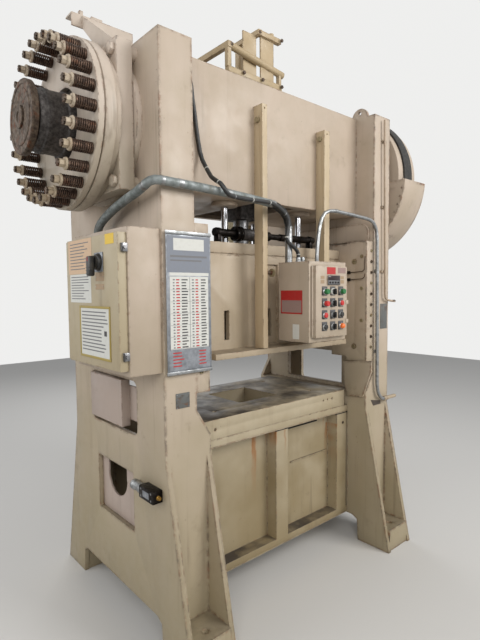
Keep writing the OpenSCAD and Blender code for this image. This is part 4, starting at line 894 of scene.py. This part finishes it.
pipes.box(60, 110, -9.8, 0, 2024, 2052, "zinc", bevel=1)
pipes.cyl((103, -9.8, 2030), FRONT, 6, 6, "zinc", seg=6, bevel=0.6)
pipes.lathe(
    (829, 0, 1740), UP, [(12, 0), (15, 0.5), (15, 10), (12.5, 11), (13.5, 18), (12, 25)], "zinc",
    seg=24)
pipes.lathe(
    (863, 0, 1740), UP, [(12, 0), (12, 9), (10.5, 10), (11.5, 22), (9, 29), (0, 30)], "zinc",
    seg=24)
pipes.box(208, 242, 108, 134, 2640, 2660, "cast", bevel=1.5)
pipes.done("conduits_detail", "frame", "galvanised", ["conduits"], smooth=40)

wire = Shape()
wire_pts = [
    (225, 124, 2640), (225, 124, 2622), (230, 124, 2590), (238, 124, 2560), (247, 124, 2523),
    (253, 124, 2470), (262, 124, 2417), (271, 124, 2350), (281, 124, 2290), (288, 120, 2240),
    (292, 108, 2200), (290, 84, 2168), (284, 54, 2136), (278, 22, 2104), (276, -14, 2082),
    (278, -42, 2066), (283, -60, 2044), (294, -64, 2026), (315, -58, 2017), (341, -48, 2016),
    (428, -34, 2017), (520, -22, 2021), (590, -14, 2024), (630, -11, 2021), (668, -7, 2012),
    (701, -3, 1997), (732, -1, 1980), (751, 0, 1958), (756, 0, 1935), (750, 0, 1905),
    (742, 0, 1875), (742, 0, 1855), (752, 0, 1840), (775, 0, 1828), (800, 0, 1815), (819, 0, 1800),
    (829, 0, 1783), (829, 0, 1765)]
wire.sweep(wire_pts, 10, "cable", rings=16)
wire_obj = wire.done("cable_sheath", "frame", "black_cable", ["cables"], smooth=50)
# Ties every TIE_STEP mm, only where the cable runs along the conduit
TIE_STEP, FIRST_TIE = 128, 4
ties = Shape()
for k, (q, d) in enumerate(along(wire_pts, TIE_STEP)):
    if k >= FIRST_TIE:
        ties.lathe(
            q, d, [(9.9, -2.2), (10.6, -1.8), (10.6, 1.8), (9.9, 2.2)],
            "white" if k % 3 else "zinc", seg=14)
ties_obj = ties.done("cable_ties", "frame", "galvanised")

air = Shape()
air.sweep([(x, -20, z) for x, z in (
    (1597, 2633), (1599, 2500), (1607, 2080), (1617, 1620), (1619, 1570), (1623, 1548),
    (1634, 1533), (1652, 1526), (1690, 1521), (1732, 1518))], 6.9, "pipe", rings=14)
for z in (1700, 2100, 2500):
    air.box(1590, 1630, -12.8, 0, z, z + 14, "pipe", bevel=1)
air.lathe(
    (1700, -20, 1520.2), RIGHT, [(6.9, 0), (7, 1), (7, 31), (6, 32), (0, 32)], "rusty", seg=16)
air.done("air_pipe_detail", "frame", "galvanised", ["air_pipe"], smooth=50)

# ---- bolts of the gibs and bars

# The gibs' side with their big bolts, and the start of a knockout bar's adjusting stud
GIB_X, BAR_X, BAR_Z = 238, 676, 1688
bolts = Shape()
for right_side in (0, 1):
    for rear_side in (0, 1):
        def px(x):
            return TOTAL_W - x if right_side else x

        def py(y):
            return TOTAL_D - y if rear_side else y

        inx, iny = (-1 if right_side else 1), (-1 if rear_side else 1)
        for z in (1239, 1768):
            bolts.lathe(
                (px(GIB_X), py(90), z), (inx, 0, 0), [(17, 0), (17, 0.9), (15.5, 1.4), (14, 1.4),
                (14, 7), (12.6, 8.4), (7.5, 8.4), (7.5, 3)], "olive", seg=32)
        for z in (1405, 1603, 1799):
            bolts.lathe(
                (px(GIB_X), py(35), z), (inx, 0, 0),
                [(11, 0), (11, 5), (9.8, 6.4), (5, 6.4), (5, 3)], "olive", seg=20)
        for k in range(10):
            bolts.lathe(
                (px(191), py(0), 1238 + 66 * k), (0, -iny, 0),
                [(8.8, 0), (8.8, 5.6), (7.8, 7), (4.4, 7), (4.4, 3)], "rusty" if k % 3 else "olive",
                seg=18)
for x in (642, 1130):
    bolts.cyl((x, 102, 2455), LEFT, 14, 13.6, "olive", seg=6, bevel=1)
bolts.cyl((BAR_X, 102, BAR_Z), RIGHT, 75, 9, "rusty", seg=16)
for k in range(16):
    bolts.lathe(
        (692 + 3.6 * k, 102, BAR_Z), RIGHT, [(9, 0), (9.9, 1.2), (9.9, 1.6), (9, 2.8)], "rusty",
        seg=14)
bolts.cyl((BAR_X, 102, BAR_Z), RIGHT, 14, 16, "rusty", seg=6, bevel=1)
bolts.lathe((731, 102, BAR_Z), RIGHT, [(9, 0), (22, 1), (22, 9), (9, 10)], "olive", seg=24)
bolts.done("frame_bolts_detail", "frame", "olive_paint", ["frame_bolts"], smooth=32)

# ---- slots on the frame, as dark strips of painted shade; plates on the frame; lube lines

marks = Shape()
# Dark strips for the slots below the bed's flange: painted shade, not cut slots
marks.flat(788, 896, 133.4, 135, 815, 821, "hole")
marks.flat(903, 1230, 207.4, 209.4, 778, 787, "hole")
marks.flat(1321, 1440, 133.4, 135, 812, 818, "hole")
marks.box(985, 1322, 202, 209.6, 572, 580, "bed", bevel=1.5)
marks.cyl((1394, 134, 753), FRONT, 3, 8, "rusty", seg=16, bevel=0.6)
# A blank slate plate on the right upright, and a dark strip of painted shadow in the gap under its
# slanted cover
marks.box(1595, 1672, -2.2, 0, 1345, 1504, "slate", bevel=0.5)
marks.prism([(1500, 903), (1606, 884), (1610, 862), (1528, 862)], -1.4, 0, "cover_gap_shadow")
marks.done("frame_marks", "frame", "dark_steel")

lube = Shape()
for z, zt in ((1702, 1768), (1657, 1662)):
    lube.sweep(
        [(1447, 132, z), (1438, 110, z), (1436, 60, z + 2), (1436, 24, z + 4), (1437, 10, z + 16),
        (1440, 8, zt + 30)], 2.6, "rusty", rings=8)
    lube.box(1428, 1447, 118, 142, z - 9, z + 9, "dark", bevel=2)
lube.done("lube_lines", "frame", "dark_steel")

# ---- motor, adjusting shaft, air valve, guard, welds

motor = Shape()
MX0, MY, MZ = 1440.0, 1270.0, 2087.0
motor.lathe(
    (MX0, MY, MZ), RIGHT, [(0, 0), (70, 0), (92, 4), (112, 22), (112, 60), (120, 62), (120, 84),
    (112, 86), (112, 292), (120, 294), (124, 316), (118, 338), (90, 352), (90, 380), (0, 380)],
    "olive", seg=48)
FIN_R = 117
for degrees in range(0, 360, 12):
    # No fins under the terminal box
    if 72 < degrees < 108:
        continue
    t = radians(degrees)
    y, z = on_circle(MY, MZ, FIN_R, t)
    motor.box(
        MX0 + 88, MX0 + 290, y - 7.5, y + 7.5, z - 1.8, z + 1.8, "olive", bevel=0,
        turn=Matrix.Rotation(t, 3, "X"))
motor.box(1600, 1720, MY - 60, MY + 60, MZ + 100, MZ + 166, "olive", bevel=4)
motor.box(1597, 1723, MY - 57, MY + 57, MZ + 158, MZ + 170, "olive", bevel=3)
for y in (MY - 110, MY + 70):
    motor.box(1540, 1810, y, y + 40, MZ - 150, MZ - 100, "olive", bevel=3)
for x in (1565, 1785):
    for y in (-95, 95):
        motor.cyl((x, MY + y, MZ - 118), UP, 12, 11, "rusty", seg=6, bevel=1)
# Dark marks for the openings in the motor's left end: painted shade, not holes
for k in range(4):
    for j in range(10):
        t = radians(36 * j + 9 * (k % 2))
        y, z = on_circle(MY, MZ, 24 + 18 * k, t)
        motor.flat(MX0 - 0.4, MX0 + 1, y - 3, y + 3, z - 3, z + 3, "hole")
motor.done("motor_finned", "frame", "olive_paint", ["motor"], smooth=30)

shaft = Shape()
SHAFT_Y, SHAFT_Z = 228.0, 1894.0
for x0, x1, r in ((450, 760, 20), (760, 920, 16), (920, 1210, 20)):
    shaft.cyl((x0, SHAFT_Y, SHAFT_Z), RIGHT, x1 - x0, r, "dark", seg=28, bevel=1)
shaft.lathe(
    (582, SHAFT_Y, SHAFT_Z), RIGHT, [(20, 0), (38, 1), (38, 18), (34, 20), (34, 24), (38, 26),
    (38, 44), (20, 44.1)], "dark", seg=32)
shaft.lathe(
    (626, SHAFT_Y, SHAFT_Z), RIGHT, [(20, 0.1), (32, 1), (32, 108), (20, 109)], "cast", seg=32)
shaft.lathe((760, SHAFT_Y, SHAFT_Z), RIGHT, [(16, 0), (26, 1), (26, 74), (16, 75)], "dark", seg=28)
for x in (588, 616):
    for k in range(6):
        t = radians(60 * k)
        place, out = on_circle(SHAFT_Y, SHAFT_Z, 37, t), on_circle(0, 0, 1, t)
        shaft.cyl((x, *place), (0, *out), 0.9, 4.5, "steel", seg=6, bevel=0)
for x in (460, 735, 1165):
    shaft.box(x, x + 24, 209, 246, 1844, 1894, "dark", bevel=2)
    shaft.lathe(
        (x - 0.6, SHAFT_Y, SHAFT_Z), RIGHT, [(20, 0), (24, 1), (24, 24.2), (20, 25.2)], "dark",
        seg=28)
shaft.done("adjust_shaft_detail", "slide_body", "dark_steel", ["adjust_shaft"], smooth=34)

valve = Shape()
valve.box(-50, 0, 30, 150, 692, 748, "dark", bevel=4)
valve.lathe(
    (-25, 150, 720), REAR, [(24, 0), (24, 20), (21, 24), (21, 60), (24, 64), (24, 82), (18, 90),
    (0, 90)], "zinc", seg=32)
valve.lathe((-25, 30, 720), FRONT, [(10, 0), (10, 6), (8, 8), (8, 16), (0, 16)], "bronze", seg=20)
for y in (48, 132):
    for z in (705, 736):
        valve.cyl((-50, y, z), LEFT, 0.1, 5, "steel", seg=12, bevel=0)
valve.flat(-50.2, -49.6, 64, 116, 706, 734, "alu")
valve.done("air_valve_detail", "frame", "dark_steel", ["air_valve"])

# Length of a ripple in a weld bead, and how far it wavers
BEAD_STEP, WAVY = 14, 0.6
welds = Shape()


def bead(a, b, r):
    """A weld bead with an uneven surface between two points."""
    a, b = Vector(a), Vector(b)
    n = max(4, int((b - a).length / BEAD_STEP))
    pts = []
    for k in range(n + 1):
        shift = Vector([RNG.uniform(-WAVY, WAVY) for _ in "xyz"])
        pts.append(a + (b - a) * (k / n) + shift)
    welds.sweep(pts, r, "frame", rings=6)


for x, y in ((166, 133), (1519, 133), (166, 807), (1519, 807)):
    bead((x, y, 2060), (x, y, 2656), 3.4)
for x in (241, 1444):
    for y in (133, 807):
        bead((x, y, 165), (x, y, 856), 3)
for z in (161, 823):
    bead((244, 133, z), (1441, 133, z), 2.4)
for x in (254, 349, 795, 890, 1336, 1431):
    bead((x, 208, 204), (x, 208, 820), 3)
for z in (1284, 1826):
    bead((-150, 11, z), (-150, 11, z + 4), 1.5)
welds.done("weld_beads", "frame", "cream_paint")

# The rivets' circle on the guard's inner side
RIVET_R = 505
guard = Shape()
for k in range(15):
    t = radians(184 + 6.0 * k)
    y, z = on_circle(MID_Y, CRANK_Z, RIVET_R, t)
    guard.lathe((1790, y, z), LEFT, [(8, 0), (8, 1.6), (5, 4), (0, 4.4)], "frame", seg=14)
for z in (2247, 1957):
    for x in (1700, 1770):
        guard.cyl((x, 100, z + 8), UP, 7, 9, "rusty", seg=6, bevel=0.8)
guard.done("guard_rivets", "frame", "cream_paint")

top = Shape()
for x, y, z in (
        (572, 150, 2688), (700, 150, 2688), (840, 150, 2688), (500, 160, 2806), (690, 160, 2925),
        (838, 148, 2925)):
    top.cyl((x, y - 22, z - 12), FRONT, 7, 9, "rusty", seg=6, bevel=0.8)
top.done("top_frame_bolts", "frame", "tan_paint")

# ---- floor

floor_mesh = bpy.data.meshes.new("floor")
# Half a side of the floor, and its height just under the feet
SIDE, UNDER = 9, -0.001
corners = ((-SIDE, -SIDE), (SIDE, -SIDE), (SIDE, SIDE), (-SIDE, SIDE))
floor_mesh.from_pydata([(x, y, UNDER) for x, y in corners], [], [(0, 1, 2, 3)])
floor = bpy.data.objects.new("floor", floor_mesh)
bpy.context.scene.collection.objects.link(floor)
fm = Mat("floor")
fm.bsdf.inputs["Base Color"].default_value = (0.62, 0.61, 0.59, 1)
fm.bsdf.inputs["Roughness"].default_value = 0.9
floor_mesh.materials.append(fm.mat)
